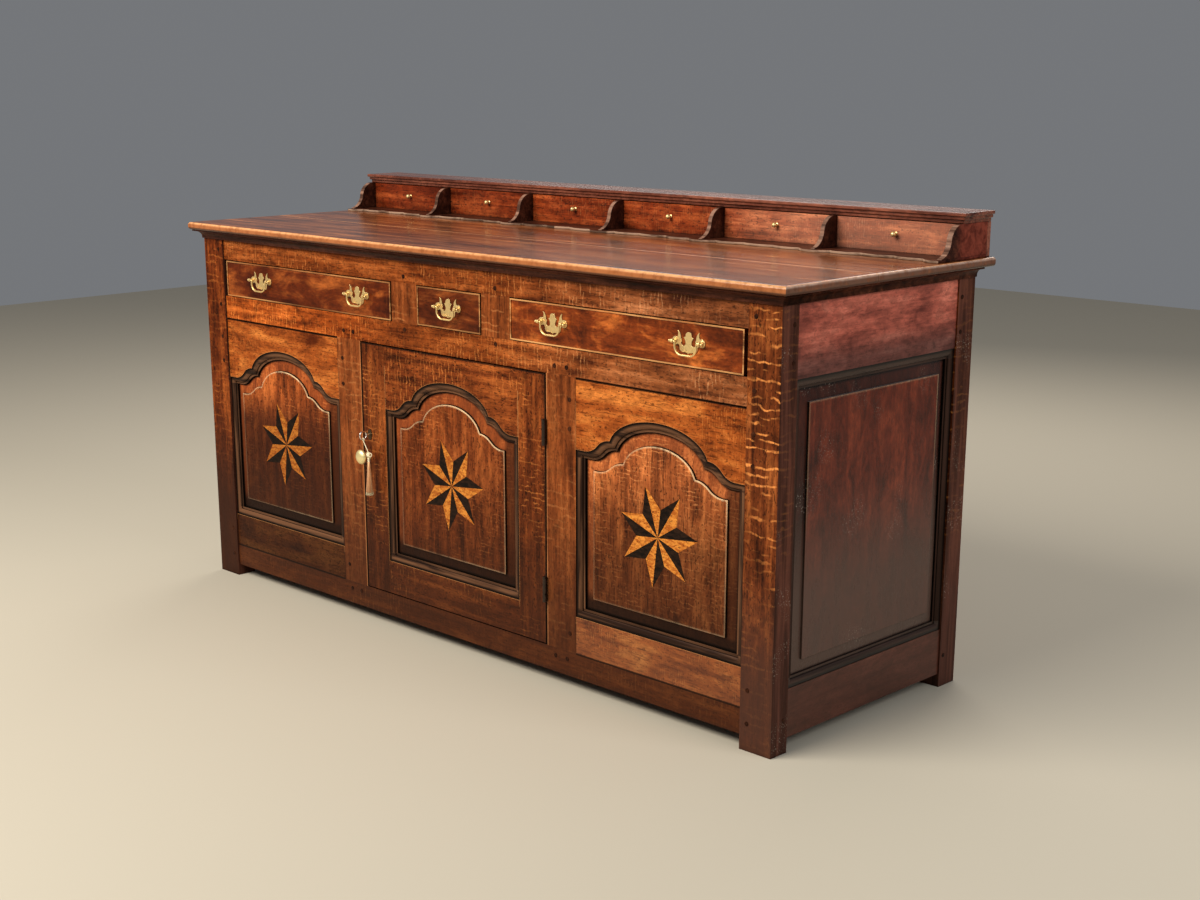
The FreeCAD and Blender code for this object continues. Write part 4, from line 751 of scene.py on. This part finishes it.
def ended(colour, xyz, streak):
    """End panels: red in the light, grey lower down, and a painted grey reflection on the upper bevel.
    """
    # The ends' grey-brown bevel colour is partly a painted reflection.
    colour = fielded(end_depth, 0.0, 0.15, 0.0, rgb(74, 54, 48))(colour, xyz, streak)
    colour = mix(fit(xyz[2], 0.52, 0.26, 0.0, 0.85), colour, rgb(92, 70, 60))
    # Painted reflection: grey on the upper bevel, which faces up.
    upward = fit(facing()[2], 0.08, 0.18, 0.0, 0.6)
    return scuffed(mix(upward, colour, rgb(132, 114, 108)))


print("panel finishes ready")

# %% [markdown]
# ## Drawers
#
# A drawer front has a rubbed bead round it, with a painted highlight, and dovetails on its ends. The
# tails are flush, so they are a change of colour and need no shape: the distance from each tail's
# middle, against a width that grows toward the front, draws their slanted sides.

# %% Drawers
DRAWER_BACK = -0.276
DRAWER_LOW = 0.704
TAIL_LENGTH = 0.014
TAIL_PITCH = 0.0277
TAIL_OAK = rgb(142, 104, 70)
BEAD_RISE = (0.0009, 0.0014)
BEAD_WEAR_AND_HIGHLIGHT = rgb(226, 166, 104)
SPICE_BACK = 0.242


def dovetails(xyz):
    """1 on the tails of the drawer sides, on the ends of a front."""
    end = fit(unsigned(facing()[0]), 0.5, 0.8)
    inside = over(minus(DRAWER_BACK, xyz[1]), TAIL_LENGTH)
    height = minus(xyz[2], DRAWER_LOW)
    spot = maths("FRACT", over(height, TAIL_PITCH))
    aside = unsigned(minus(spot, 0.5))
    half = plus(times(inside, 0.1), 0.26)
    tail = fit(minus(half, aside), -0.01, 0.03)
    return times(end, times(tail, fit(inside, 1.02, 0.98)))


def beaded(colour, xyz, streak):
    """Drawer fronts: a thin bead round the edge, pale from wear with a painted highlight, strongest on
    the right.
    """
    bead = fit(xyz[1], FRONT_FACE - BEAD_RISE[0], FRONT_FACE - BEAD_RISE[1])
    colour = mix(fit(xyz[0], 0.15, -0.15, 0.0, 0.3), colour, rgb(66, 20, 4))
    colour = tint(fit(xyz[0], 0.15, 0.2), colour, 1.5, 1.6, 1.6)
    colour = tint(fit(unsigned(xyz[0]), 0.15, 0.12), colour, 0.75, 0.8, 0.85)
    # Wear and a painted highlight on the bead's crown.
    rubbed_and_lit = times(bead, fit(streak, 0.38, 0.62, 0.15, 0.9))
    rubbed_and_lit = times(rubbed_and_lit, fit(xyz[0], 0.0, 0.3, 0.62, 1.0))
    colour = mix(rubbed_and_lit, colour, BEAD_WEAR_AND_HIGHLIGHT)
    return mix(dovetails(xyz), colour, TAIL_OAK)


def spiced(colour, xyz, streak):
    """Spice drawers: waxed fronts, a painted reflection paling the right ones, darker to the left; plain
    unpolished oak behind them.
    """
    # Painted reflection pales the right spice drawers; the left ones are darker.
    colour = tint(fit(xyz[0], 0.2, 0.45), colour, 1.35, 2.1, 3.6)
    colour = mix(fit(xyz[0], 0.25, 0.6, 0.0, 0.3), colour, rgb(214, 152, 126))
    colour = tint(fit(xyz[0], -0.3, -0.6), colour, 0.75, 0.7, 0.7)
    return mix(past(xyz[1], SPICE_BACK), colour, rgb(150, 112, 76))


print("drawer finishes ready")

# %% [markdown]
# ## Top, gallery and back
#
# The top's rounded edge, the nosing, is worn to gold in front and to grey-brown at the ends, with a
# painted highlight where the surface turns up and painted shade where it turns down. The back was
# never polished.

# %% Top, gallery and back
PLANK_JOINT = (-0.0614, -0.0586)
JOINT_FILL = rgb(206, 160, 120)
UNDERSIDE_SHADE = rgb(62, 34, 20)
GALLERY_FRONT = (0.232, 0.226)
GALLERY_END = 0.902
SHELF_LEVEL = 0.879
BOARD_PITCH = 1.66 / 6
TOP_DARKENING = rgb(66, 42, 26)


def nosed(colour, xyz, streak):
    """The top: a nosing gold from the wear of hands, with a painted highlight where it turns up and
    painted shade where it turns down.
    """
    direction = facing()
    joint = between(xyz[1], *PLANK_JOINT, 0.0005)
    colour = mix(times(joint, 0.45), colour, JOINT_FILL)
    dents = noise(spots(), 90, 3.0, 0.6)
    # Wear, and a painted highlight on the upper nosing that shades to painted shade lower down.
    worn_and_lit = times(fit(direction[2], 0.98, 0.88), fit(dents, 0.30, 0.62, 0.5, 1.0))
    ends = fit(unsigned(direction[0]), 0.4, 0.7)
    upper = mix(ends, rgb(238, 172, 116), rgb(208, 172, 150))
    lower = mix(ends, rgb(176, 108, 64), rgb(122, 86, 68))
    colour = mix(worn_and_lit, colour, mix(fit(direction[2], 0.75, 0.1), upper, lower))
    # Painted shade on faces that turn down.
    return mix(fit(direction[2], 0.05, -0.5, 0.0, 0.85), colour, UNDERSIDE_SHADE)


def edged(colour, xyz, streak):
    """Gallery boards: edges pale from wear with painted glints, red ends."""
    # Wear and painted glints on the front edges.
    edge = times(fit(facing()[1], -0.15, -0.45), fit(xyz[1], *GALLERY_FRONT))
    worn_and_lit = times(edge, fit(streak, 0.36, 0.6, 0.15, 0.9))
    pale = mix(past(xyz[2], SHELF_LEVEL), rgb(190, 156, 130), rgb(166, 126, 104))
    colour = mix(worn_and_lit, colour, pale)
    ends = times(past(unsigned(xyz[0]), GALLERY_END), fit(xyz[1], 0.2, 0.235))
    red = mix(fit(streak, 0.34, 0.66), rgb(96, 38, 26), rgb(150, 70, 52))
    return mix(times(ends, 0.8), colour, red)


def boarded(colour, xyz, streak):
    """Back boards: dark joints, and darker toward the top."""
    spot = maths("FRACT", over(xyz[0], BOARD_PITCH))
    joint = minus(0.5, unsigned(minus(spot, 0.5)))
    colour = mix(fit(joint, 0.008, 0.003, 0.0, 0.9), colour, BLACK_WAX_AND_SHADE)
    return mix(fit(xyz[2], 0.5, 0.9, 0.0, 0.35), colour, TOP_DARKENING)


print("top and back finishes ready")

# %% [markdown]
# ## Oak for the front
#
# Posts and muntins have upright grain, rails have level grain. The cells change between two boards,
# never inside one.

# %% Oak for the front
oak("post_oak", "z", ["corner_posts"], (40, 12, 3), (108, 46, 15), (170, 86, 34), (240, 138, 62),
    rays=0.85, ray_size=1.1, specks=0.75, blotch=0.5, repaint_by_place=posted, rayed=post_rays, cut_x=(1, 0),
    cut_y=(1, 0))
oak("rail_oak", "x", ["front_rails"], (70, 25, 6), (142, 68, 24), (206, 114, 52), (238, 150, 76),
    rays=0.45, ray_size=0.65, specks=0.65, blotch=0.5, repaint_by_place=railed, cut_z=(8, 0))
oak("muntin_oak", "z", ["front_muntins"], (74, 32, 11), (136, 68, 29), (174, 98, 48), (222, 146, 84),
    rays=0.28, repaint_by_place=beside_door, cut_x=(4, 0))
oak("door_oak", "z", ["door_frame"], (48, 17, 4), (114, 52, 19), (170, 90, 38), (216, 130, 62),
    rays=0.5, ray_size=0.7, specks=0.8, blotch=0.45, repaint_by_place=door_framed, cross=door_rails,
    cut_x=(2.3256, -0.215))
oak("arch_oak", "x", ["panel_rails"], (86, 33, 8), (162, 80, 29), (214, 126, 56), (232, 148, 72),
    rays=0.35, ray_size=0.4, specks=0.7, blotch=0.6, repaint_by_place=framed(front_depth, 0.75, 0.5, True),
    cut_x=(1, 0), cut_z=(2.5, 0))
oak("panel_oak", "z", ["fixed_panels", "door_panel"],
    (50, 18, 5), (108, 49, 18), (156, 82, 36), (190, 112, 56),
    rays=0.35, ray_size=0.55, specks=0.75, blotch=0.5, repaint_by_place=panelled, cut_x=(1.5, -0.3333))

# %% [markdown]
# ## Oak for the ends, the drawers and the top
#
# The front catches more light and was polished more, so its oak is warmer than the mahogany-red
# ends. The top is the glossiest, with hardly any relief, because it was waxed flat.

# %% Oak for the ends, the drawers and the top
DRAWERS = ("left_drawer", "centre_drawer", "right_drawer")
DRAWER_FRONTS = [f"{drawer}_front" for drawer in DRAWERS]
SPICE_DRAWERS = [f"spice_drawer_{count}" for count in range(1, 7)]
oak("end_panel_oak", "z", ["end_panels"], (60, 20, 11), (106, 40, 23), (146, 64, 38), (160, 84, 58),
    rays=0.06, specks=0.35, blotch=0.7, gloss=0.28, coat=0.12, mirror=0.25, repaint_by_place=ended, cut_x=(1, 0))
oak("end_rail_oak", "y", ["end_rails"], (118, 52, 41), (192, 98, 78), (238, 138, 112), (238, 146, 118),
    rays=0.08, specks=0.35, blotch=0.6, gloss=0.32, coat=0.1, mirror=0.25, repaint_by_place=end_framed,
    cut_x=(1, 0), cut_z=(2, 0))
oak("drawer_oak", "x", DRAWER_FRONTS, (54, 17, 4), (108, 43, 12), (200, 106, 44), (200, 106, 44),
    rays=0.1, specks=0.35, blotch=0.75, gloss=0.34, coat=0.06, mirror=0.12, repaint_by_place=beaded)
oak("spice_oak", "x", SPICE_DRAWERS, (64, 18, 4), (134, 52, 20), (196, 96, 46), (236, 150, 88),
    rays=0.2, ray_size=0.4, specks=0.7, blotch=0.5, gloss=0.36, mirror=0.16, repaint_by_place=spiced)
oak("top_oak", "x", ["top_boards"], (62, 26, 9), (128, 66, 30), (188, 112, 58), (196, 124, 70),
    rays=0.08, specks=0.4, gloss=0.2, coat=0.04, mirror=0.2, mottle=0.08, relief=0.02, stained=0.4,
    repaint_by_place=nosed, cut_y=(1, -0.06))

# %% [markdown]
# ## Oak for the gallery and the inside
#
# The gallery is almost black, and its shelf is bright. What never shows was left unpolished: it is
# pale, rough and dry.

# %% Oak for the gallery and the inside
DRAWER_BOXES = [f"{drawer}_box" for drawer in DRAWERS]
GALLERY = ((36, 17, 11), (66, 33, 22), (102, 56, 38), (140, 86, 60))
INSIDE = ((92, 58, 34), (130, 88, 54), (162, 116, 74), (184, 140, 96))
DRY = dict(rays=0.2, gloss=0.6, coat=0.0, mottle=0.12)
oak("gallery_oak", "x", ["gallery_base", "gallery_brackets"], *GALLERY, rays=0.15, gloss=0.34,
    shade_and_dirt=0.35, repaint_by_place=edged, cut_x=(3.31, -0.15))
oak("cornice_oak", "x", ["cornice_mouldings"], *GALLERY, rays=0.1, gloss=0.34)
oak("shelf_oak", "x", ["gallery_shelf", "gallery_back"],
    (72, 34, 24), (124, 68, 50), (164, 98, 74), (184, 120, 90),
    rays=0.2, gloss=0.25, mirror=0.35, relief=0.05)
oak("inside_oak", "x", ["floor_boards", "floor_bearers", "back_rails"], *INSIDE,
    cut_y=(5.7, -0.27), cut_z=(3, 0), **DRY)
oak("inside_upright", "z", ["back_boards"], *INSIDE, vary=0.3, repaint_by_place=boarded,
    cut_x=(1 / BOARD_PITCH, 0), **DRY)
oak("inside_deep", "y", ["drawer_runners", *DRAWER_BOXES], *INSIDE, **DRY)
oak("peg_oak", "y", ["pegs"], (26, 12, 6), (52, 25, 13), (80, 42, 23), (120, 74, 44), rays=0.1)

# %% [markdown]
# ## Softened edges
#
# No old board has a knife edge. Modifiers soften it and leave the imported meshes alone: a weld joins
# the faces of a solid, a planar dissolve makes one face of the triangles in one plane, a small bevel
# rounds the arrises, and weighted normals keep the broad faces flat.

# %% Bevels
WELD_REACH = 0.00001
FLAT_ANGLE = math.radians(0.3)
SHARP_ANGLE = math.radians(40)
FACE_WEIGHT = 80


def soften(part, width):
    """Welds and bevels a CAD node without touching its mesh."""
    stack = nodes[part].modifiers
    weld = stack.new("weld", "WELD")
    weld.merge_threshold = WELD_REACH
    flatten = stack.new("flatten", "DECIMATE")
    flatten.decimate_type = "DISSOLVE"
    flatten.angle_limit = FLAT_ANGLE
    bevel = stack.new("bevel", "BEVEL")
    bevel.width = width
    bevel.segments = 2
    bevel.limit_method = "ANGLE"
    bevel.angle_limit = SHARP_ANGLE
    normals = stack.new("normals", "WEIGHTED_NORMAL")
    normals.weight = FACE_WEIGHT


HANDLES = [f"{drawer}_handles" for drawer in DRAWERS]
BEVELS = {
    0.0020: ["corner_posts"],
    0.0015: ["gallery_shelf"],
    0.0014: ["door_frame"],
    0.0012: ["gallery_brackets"],
    0.0010: ["front_rails", "front_muntins", "panel_rails", "end_rails", "gallery_base", "gallery_back"],
    0.0008: ["top_boards", "back_boards", "back_rails", "floor_boards", "floor_bearers",
             "drawer_runners"],
    0.0006: ["cornice_mouldings", *DRAWER_FRONTS, *DRAWER_BOXES, *SPICE_DRAWERS],
    0.0005: ["fixed_panels", "door_panel", "end_panels", "pegs"],
    0.0004: HANDLES,
}
for width, parts in BEVELS.items():
    for part in parts:
        soften(part, width)
print("softened nodes:", sum(len(node.modifiers) > 0 for node in nodes.values()))

# %% [markdown]
# ## Inlay
#
# The stars pair a golden wood with bog oak, which is almost black. Each half of a ray is a veneer,
# and Random Per Island, which differs for each loose piece of a mesh, moves its figure.

# %% Inlay
INLAY_GRAIN = (60, 150)
INLAY_SPECK = rgb(60, 28, 12)


def inlay(name, dark, light, specks):
    """A figured veneer with specks, darker toward the left."""
    material, shader = new_material(name)
    board = add("NewGeometry").outputs["Random Per Island"]
    moved = add("VectorMath", {0: spots(), 1: board}, operation="ADD").outputs[0]
    grain = grained(moved, INLAY_GRAIN, 4.0, 0.6, 0.8)
    colour = mix(fit(grain, 0.35, 0.65), dark, light)
    dots = fit(noise(moved, 260, 2.0), 0.56, 0.68)
    colour = mix(times(dots, specks), colour, INLAY_SPECK)
    colour = tint(fit(place()[0], 0.4, -0.5), colour, 0.62, 0.56, 0.5)
    plug(colour, shader, "Base Color")
    plug(fit(grain, 0.3, 0.7, 0.34, 0.48), shader, "Roughness")
    plug(0.08, shader, "Specular IOR Level")
    return material


satinwood = inlay("satinwood", rgb(176, 92, 30), rgb(236, 152, 62), 0.7)
bog_oak = inlay("bog_oak", rgb(14, 8, 5), rgb(44, 28, 18), 0.2)
wear(satinwood, "fixed_stars_light", "door_star_light")
wear(bog_oak, "fixed_stars_dark", "door_star_dark")
print("inlay done")

# %% [markdown]
# ## Brass, bronze, steel and iron
#
# A metal's colour is the colour of its reflection, so brass needs a warm colour, some tarnish in its
# corners and fine scratches.

# %% Metals
SCRATCHED = (300, 2400)


def metal(name, base, tarnish, rough, aged_share=0.5, metallic=1.0):
    """A polished metal, duller and darker where fingers don't reach."""
    material, shader = new_material(name)
    vector = spots()
    cloud = noise(vector, 160, 4.0)
    scratch = grained(vector, SCRATCHED, 2.0)
    hollow = add("AmbientOcclusion", {"Distance": 0.006}, samples=6).outputs["AO"]
    aged = either(fit(hollow, 0.75, 0.2, 0.0, 0.85), fit(cloud, 0.52, 0.72, 0.0, aged_share))
    plug(mix(aged, base, tarnish), shader, "Base Color")
    plug(metallic, shader, "Metallic")
    shine = plus(plus(rough, times(aged, 0.25)), times(scratch, 0.06))
    plug(shine, shader, "Roughness")
    bump = add("Bump", {"Height": cloud, "Strength": 0.12, "Distance": 0.0006})
    plug(bump.outputs[0], shader, "Normal")
    return material


brass = metal("brass", rgb(248, 214, 146), rgb(122, 86, 42), 0.34, 0.35, 0.75)
satin_brass = metal("satin_brass", rgb(255, 234, 172), rgb(150, 118, 64), 0.38, 0.2, 0.75)
bronze = metal("bronze", rgb(92, 72, 50), rgb(22, 16, 11), 0.35)
steel = metal("steel", rgb(242, 238, 230), rgb(84, 76, 68), 0.18, 0.25)
iron = metal("iron", rgb(74, 62, 54), rgb(26, 20, 17), 0.45, 0.8)
BAILS = ("left_drawer_bail_1", "left_drawer_bail_2", "centre_drawer_bail",
         "right_drawer_bail_1", "right_drawer_bail_2")
wear(brass, *BAILS, *HANDLES)
wear(brass, *[f"spice_knob_{count}" for count in range(1, 7)])
wear(bronze, "keyhole_escutcheon")
wear(steel, "key")
wear(iron, "lock_case", "lock_bolt", "door_hinge_leaves", "frame_hinge_leaves")
print("metals done")

# %% [markdown]
# ## Pieces that ride on the joinery
#
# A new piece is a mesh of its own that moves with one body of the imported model. Turned pieces start
# as a half profile, which spin takes once round an axis, as a lathe does.

# %% Helpers for new pieces
def piece(name, mesh, material, body):
    """Turns a bmesh into a smooth piece that rides on a body."""
    bmesh.ops.remove_doubles(mesh, verts=mesh.verts, dist=0.000005)
    bmesh.ops.recalc_face_normals(mesh, faces=mesh.faces)
    data = bpy.data.meshes.new(name)
    mesh.to_mesh(data)
    mesh.free()
    for face in data.polygons:
        face.use_smooth = True
    data.materials.append(material)
    made = put(name, data)
    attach(made, body)
    print("piece:", name, "faces:", len(data.polygons))
    return made


def turned(mesh, centre, axis, profile, steps=40):
    """Spins a half profile of (radius, reach) once round an axis."""
    spoke = axis.orthogonal().normalized()
    verts = [mesh.verts.new(centre + spoke * radius + axis * reach) for radius, reach in profile]
    edges = [mesh.edges.new(pair) for pair in zip(verts, verts[1:])]
    bmesh.ops.spin(mesh, geom=verts + edges, cent=centre, axis=axis, angle=math.tau, steps=steps,
                   use_merge=True)


def ring(mesh, centre, axis, radius, wire, steps=24, sides=8):
    """Spins a small circle round an axis: one turn of cord."""
    spoke = axis.orthogonal().normalized()
    made = bmesh.ops.create_circle(mesh, segments=sides, radius=wire)
    turn = Matrix((spoke, axis, spoke.cross(axis))).transposed().to_4x4()
    bmesh.ops.transform(mesh, verts=made["verts"],
                        matrix=Matrix.Translation(centre + spoke * radius) @ turn)
    edges = list({edge for vert in made["verts"] for edge in vert.link_edges})
    bmesh.ops.spin(mesh, geom=made["verts"] + edges, cent=centre, axis=axis, angle=math.tau,
                   steps=steps, use_merge=True)


def drawn_out(mesh, face):
    """Extrudes a face in place and returns the new one."""
    drawn = bmesh.ops.extrude_face_region(mesh, geom=[face])["geom"]
    return [item for item in drawn if isinstance(item, bmesh.types.BMFace)][0]


print("piece helpers ready")

# %% [markdown]
# ## The door knob
#
# A round brass knob turns a catch behind the door's stile. Knob, stem and spindle are one turned
# profile, and the catch is a bar with softened edges.

# %% Door knob
KNOB = Vector((-0.279, FRONT_FACE, 0.390))
FORWARD = Vector((0, -1, 0))
KNOB_PROFILE = [(0.0, -0.0302), (0.0032, -0.0302), (0.0032, -0.0002), (0.0088, -0.0002),
                (0.0090, 0.0012), (0.0082, 0.0020), (0.0054, 0.0026), (0.0046, 0.0040),
                (0.0042, 0.0090), (0.0050, 0.0132), (0.0088, 0.0150), (0.0138, 0.0170),
                (0.0160, 0.0194), (0.0165, 0.0216), (0.0157, 0.0240), (0.0130, 0.0266),
                (0.0085, 0.0286), (0.0040, 0.0294), (0.0, 0.0295)]
CATCH_CENTRE = Vector((-0.279, -0.2675, 0.37625))
CATCH_SIZE = (0.0128, 0.0039, 0.0403)
CATCH_EDGE = 0.0012
knob_mesh = bmesh.new()
turned(knob_mesh, KNOB, FORWARD, KNOB_PROFILE)
catch = bmesh.ops.create_cube(knob_mesh, size=1.0)
bmesh.ops.scale(knob_mesh, vec=CATCH_SIZE, verts=catch["verts"])
bmesh.ops.translate(knob_mesh, vec=CATCH_CENTRE, verts=catch["verts"])
catch_edges = list({edge for vert in catch["verts"] for edge in vert.link_edges})
bmesh.ops.bevel(knob_mesh, geom=catch_edges, offset=CATCH_EDGE, offset_type="OFFSET",
                affect="EDGES", segments=2, profile=0.5, material=-1)
knob = piece("turn_knob_brass", knob_mesh, satin_brass, "turn_knob")
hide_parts("turn_knob")

# %% [markdown]
# ## Nails in the back
#
# The back boards are nailed to three rails. A hand-made nail has a faceted head, so each starts as a
# circle that is drawn out and narrowed, with a small turn of its own.

# %% Back nails
BACK_FACE = 0.296
BACK_RAILS = (0.054, 0.683, 0.822)
BACK_LEFT = -0.83
BOARD_COUNT = 6
NAIL_ASIDE = 0.09
NAIL_STRAY = 0.006
NAIL_RADIUS = 0.0046
NAIL_STEPS = ((0.0006, 0.96), (0.0009, 0.5))
nail_mesh = bmesh.new()
for board in range(BOARD_COUNT):
    for aside in (-NAIL_ASIDE, NAIL_ASIDE):
        for height in BACK_RAILS:
            spot = Vector((BACK_LEFT + (board + 0.5) * BOARD_PITCH + aside, BACK_FACE, height))
            spot += Vector((random.uniform(-NAIL_STRAY, NAIL_STRAY), 0,
                            random.uniform(-NAIL_STRAY, NAIL_STRAY)))
            lie = Matrix.Translation(spot) @ Matrix.Rotation(-math.pi / 2, 4, "X")
            turn = Matrix.Rotation(random.uniform(0, 6.28), 4, "Z")
            head = bmesh.ops.create_circle(nail_mesh, cap_ends=True, segments=7,
                                           radius=NAIL_RADIUS, matrix=lie @ turn)
            face = head["verts"][0].link_faces[0]
            for lift, narrow in NAIL_STEPS:
                face = drawn_out(nail_mesh, face)
                middle = face.calc_center_median()
                bmesh.ops.scale(nail_mesh, vec=(narrow, narrow, narrow), verts=face.verts,
                                space=Matrix.Translation(-middle))
                bmesh.ops.translate(nail_mesh, vec=(0, lift, 0), verts=face.verts)
nails = piece("back_nails", nail_mesh, iron, "carcase")
for polygon in nails.data.polygons:
    polygon.use_smooth = False

# %% [markdown]
# ## The silk
#
# Silk thread is pale and a little glossy. Each strand is a loose piece of the mesh and gets a tone
# of its own. The cut ends and the bound neck are paler still.

# %% Silk
FRINGE = (0.3150, 0.3115)
BINDING = (0.3815, 0.3835)
TWIST_GRAIN = (900, 300)
silk, shader = new_material("silk")
strand_tone = add("NewGeometry").outputs["Random Per Island"]
height = place()[2]
colour = mix(strand_tone, rgb(250, 168, 104), rgb(255, 214, 160))
twist = grained(spots(), TWIST_GRAIN, 2.0)
colour = mix(fit(twist, 0.4, 0.7, 0.0, 0.4), colour, rgb(246, 212, 164))
pale_ends = either(fit(height, *FRINGE), fit(height, *BINDING))
plug(mix(pale_ends, colour, rgb(255, 240, 200)), shader, "Base Color")
plug(0.5, shader, "Roughness")
plug(0.15, shader, "Sheen Weight")
print("silk ready")

# %% [markdown]
# ## The tassel's cord
#
# The cord is one smooth spline from the key's bow to the knot, so it hangs as a soft cord does. It
# is only two millimetres thick, so a curve with a round bevel is all it needs.

# %% Cord
CORD_START = Vector((-0.271, -0.316, 0.428))
TASSEL_TOP = Vector((-0.2535, -0.316, 0.4035))
CORD_SAG = Vector((0, 0, -0.0008))
cord_data = bpy.data.curves.new("tassel_cord_silk", "CURVE")
cord_data.dimensions = "3D"
cord_data.bevel_depth = 0.001
cord_data.bevel_resolution = 3
spline = cord_data.splines.new("NURBS")
cord_route = [CORD_START, CORD_START.lerp(TASSEL_TOP, 0.5) + CORD_SAG, TASSEL_TOP]
spline.points.add(len(cord_route) - 1)
for point, spot in zip(spline.points, cord_route):
    point.co = (*spot, 1.0)
spline.order_u = 3
spline.use_endpoint_u = True
cord = put("tassel_cord_silk", cord_data)
cord_data.materials.append(silk)
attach(cord, "tassel")
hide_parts("tassel_cord")
print("cord points:", len(cord_route))

# %% [markdown]
# ## The tassel's skirt
#
# A cone would look stiff, so the skirt is many fine strands. Each is a small circle drawn down from
# the neck in three steps that spread a little. Turning by the golden angle fills the skirt evenly.

# %% Skirt
NECK = Vector((TASSEL_TOP.x, TASSEL_TOP.y, 0.384))
STRANDS = 150
STRAND_WIRE = 0.00046
GOLDEN_ANGLE = 2.39996
NECK_SPREAD = 0.0021
STRAND_STEPS = ((0.0034, 0.25), (0.0056, 0.6), (0.0090, 1.0))
skirt_mesh = bmesh.new()
for count in range(STRANDS):
    angle = count * GOLDEN_ANGLE
    share = math.sqrt((count + 0.5) / STRANDS)
    fall = random.uniform(0.0755, 0.0775)
    sway = angle + random.uniform(-0.12, 0.12)
    out = Vector((math.cos(angle), math.sin(angle), 0)) * share
    aside = Vector((math.cos(sway), math.sin(sway), 0)) * share
    stops = [NECK + out * NECK_SPREAD]
    for way, (spread, drop) in zip((out, aside, aside), STRAND_STEPS):
        stops.append(NECK + way * spread + Vector((0, 0, -drop * fall)))
    strand = bmesh.ops.create_circle(skirt_mesh, cap_ends=True, segments=5, radius=STRAND_WIRE,
                                     matrix=Matrix.Translation(stops[0]))
    face = strand["verts"][0].link_faces[0]
    for start, stop in zip(stops, stops[1:]):
        face = drawn_out(skirt_mesh, face)
        bmesh.ops.translate(skirt_mesh, vec=stop - start, verts=face.verts)
skirt = piece("tassel_skirt_silk", skirt_mesh, silk, "tassel")
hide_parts("tassel")

# %% [markdown]
# ## The tassel's knot and loop
#
# Turns of cord round a small ball, each leaning another way, make the knot. A bow stands out at its
# side, a bead and five tight turns bind the neck, and a loop holds the cord on the key.

# %% Knot and loop
UP = Vector((0, 0, 1))
KNOT = Vector((TASSEL_TOP.x, TASSEL_TOP.y, 0.3985))
KNOT_PROFILE = [(0.0, -0.0052), (0.0030, -0.0044), (0.0044, -0.0020), (0.0048, 0.0),
                (0.0044, 0.0020), (0.0030, 0.0042), (0.0, 0.0050)]
KNOT_TURNS = ((0.6, 0.0), (0.6, 2.1), (0.6, 4.2), (1.25, 1.0), (1.25, 3.1))
BOW = KNOT + Vector((0.0062, -0.001, 0.0008))
BOW_AXIS = Vector((0.5, -0.85, 0.15)).normalized()
BEAD = Vector((KNOT.x, KNOT.y, 0.3905))
BEAD_PROFILE = [(0.0, -0.0022), (0.0022, -0.0018), (0.0031, 0.0), (0.0022, 0.0018), (0.0, 0.0022)]
BINDING_LOW = 0.3832
BINDING_PITCH = 0.0012
KNOT_CORD = (0.0044, 0.0011)
BOW_CORD = (0.0042, 0.0009)
BINDING_CORD = (0.0020, 0.0007)
LOOP_CORD = (0.003, 0.001)
LOOP = Vector((-0.271, -0.316, 0.431))
knot_mesh = bmesh.new()
turned(knot_mesh, KNOT, UP, KNOT_PROFILE, 24)
for lean, way in KNOT_TURNS:
    level = math.sin(lean)
    slant = Vector((level * math.cos(way), level * math.sin(way), math.cos(lean)))
    ring(knot_mesh, KNOT, slant, *KNOT_CORD)
ring(knot_mesh, BOW, BOW_AXIS, *BOW_CORD)
turned(knot_mesh, BEAD, UP, BEAD_PROFILE, 20)
for count in range(5):
    level = Vector((KNOT.x, KNOT.y, BINDING_LOW + BINDING_PITCH * count))
    ring(knot_mesh, level, UP, *BINDING_CORD, 18, 6)
knot = piece("tassel_knot_silk", knot_mesh, silk, "tassel")

loop_mesh = bmesh.new()
ring(loop_mesh, LOOP, Vector((0, 1, 0)), *LOOP_CORD)
loop = piece("tassel_loop_silk", loop_mesh, silk, "tassel")

# %% [markdown]
# ## Studio
#
# A pale floor, a big soft light at the front left, a weaker one on the right and one from behind
# that draws the long reflections on the top.

# %% Floor and world
floor_mesh = bmesh.new()
bmesh.ops.create_grid(floor_mesh, x_segments=1, y_segments=1, size=6.0)
floor_data = bpy.data.meshes.new("floor")
floor_mesh.to_mesh(floor_data)
floor_mesh.free()
floor = put("floor", floor_data)
floor_material, floor_shader = new_material("floor")
plug(rgb(200, 191, 172), floor_shader, "Base Color")
plug(0.8, floor_shader, "Roughness")
floor_data.materials.append(floor_material)

world = bpy.data.worlds.new("studio")
bpy.context.scene.world = world
world.use_nodes = True
background = world.node_tree.nodes["Background"]
plug((0.80, 0.83, 0.88, 1.0), background, "Color")
plug(0.22, background, "Strength")
print("floor and world ready")

# %% Lights
def lamp(name, spot, aim, size, power, colour):
    """A rectangular lamp that points at a spot."""
    data = bpy.data.lights.new(name, "AREA")
    data.shape = "RECTANGLE"
    data.size, data.size_y = size
    data.energy = power
    data.color = colour
    made = put(name, data)
    made.location = spot
    made.rotation_euler = (Vector(aim) - Vector(spot)).to_track_quat("-Z", "Y").to_euler()


lamp("key_light", (-0.6, -3.0, 3.2), (0.0, 0.0, 0.5), (3.0, 1.8), 205, (1.0, 0.95, 0.87))
lamp("side_light", (3.6, 0.2, 2.4), (0.6, 0.0, 0.6), (1.6, 1.6), 40, (0.95, 0.97, 1.0))
lamp("back_light", (-1.2, 2.8, 2.6), (0.0, 0.1, 0.9), (3.0, 1.2), 50, (1.0, 0.93, 0.85))
bpy.context.scene.view_settings.view_transform = "Standard"
print("studio ready")
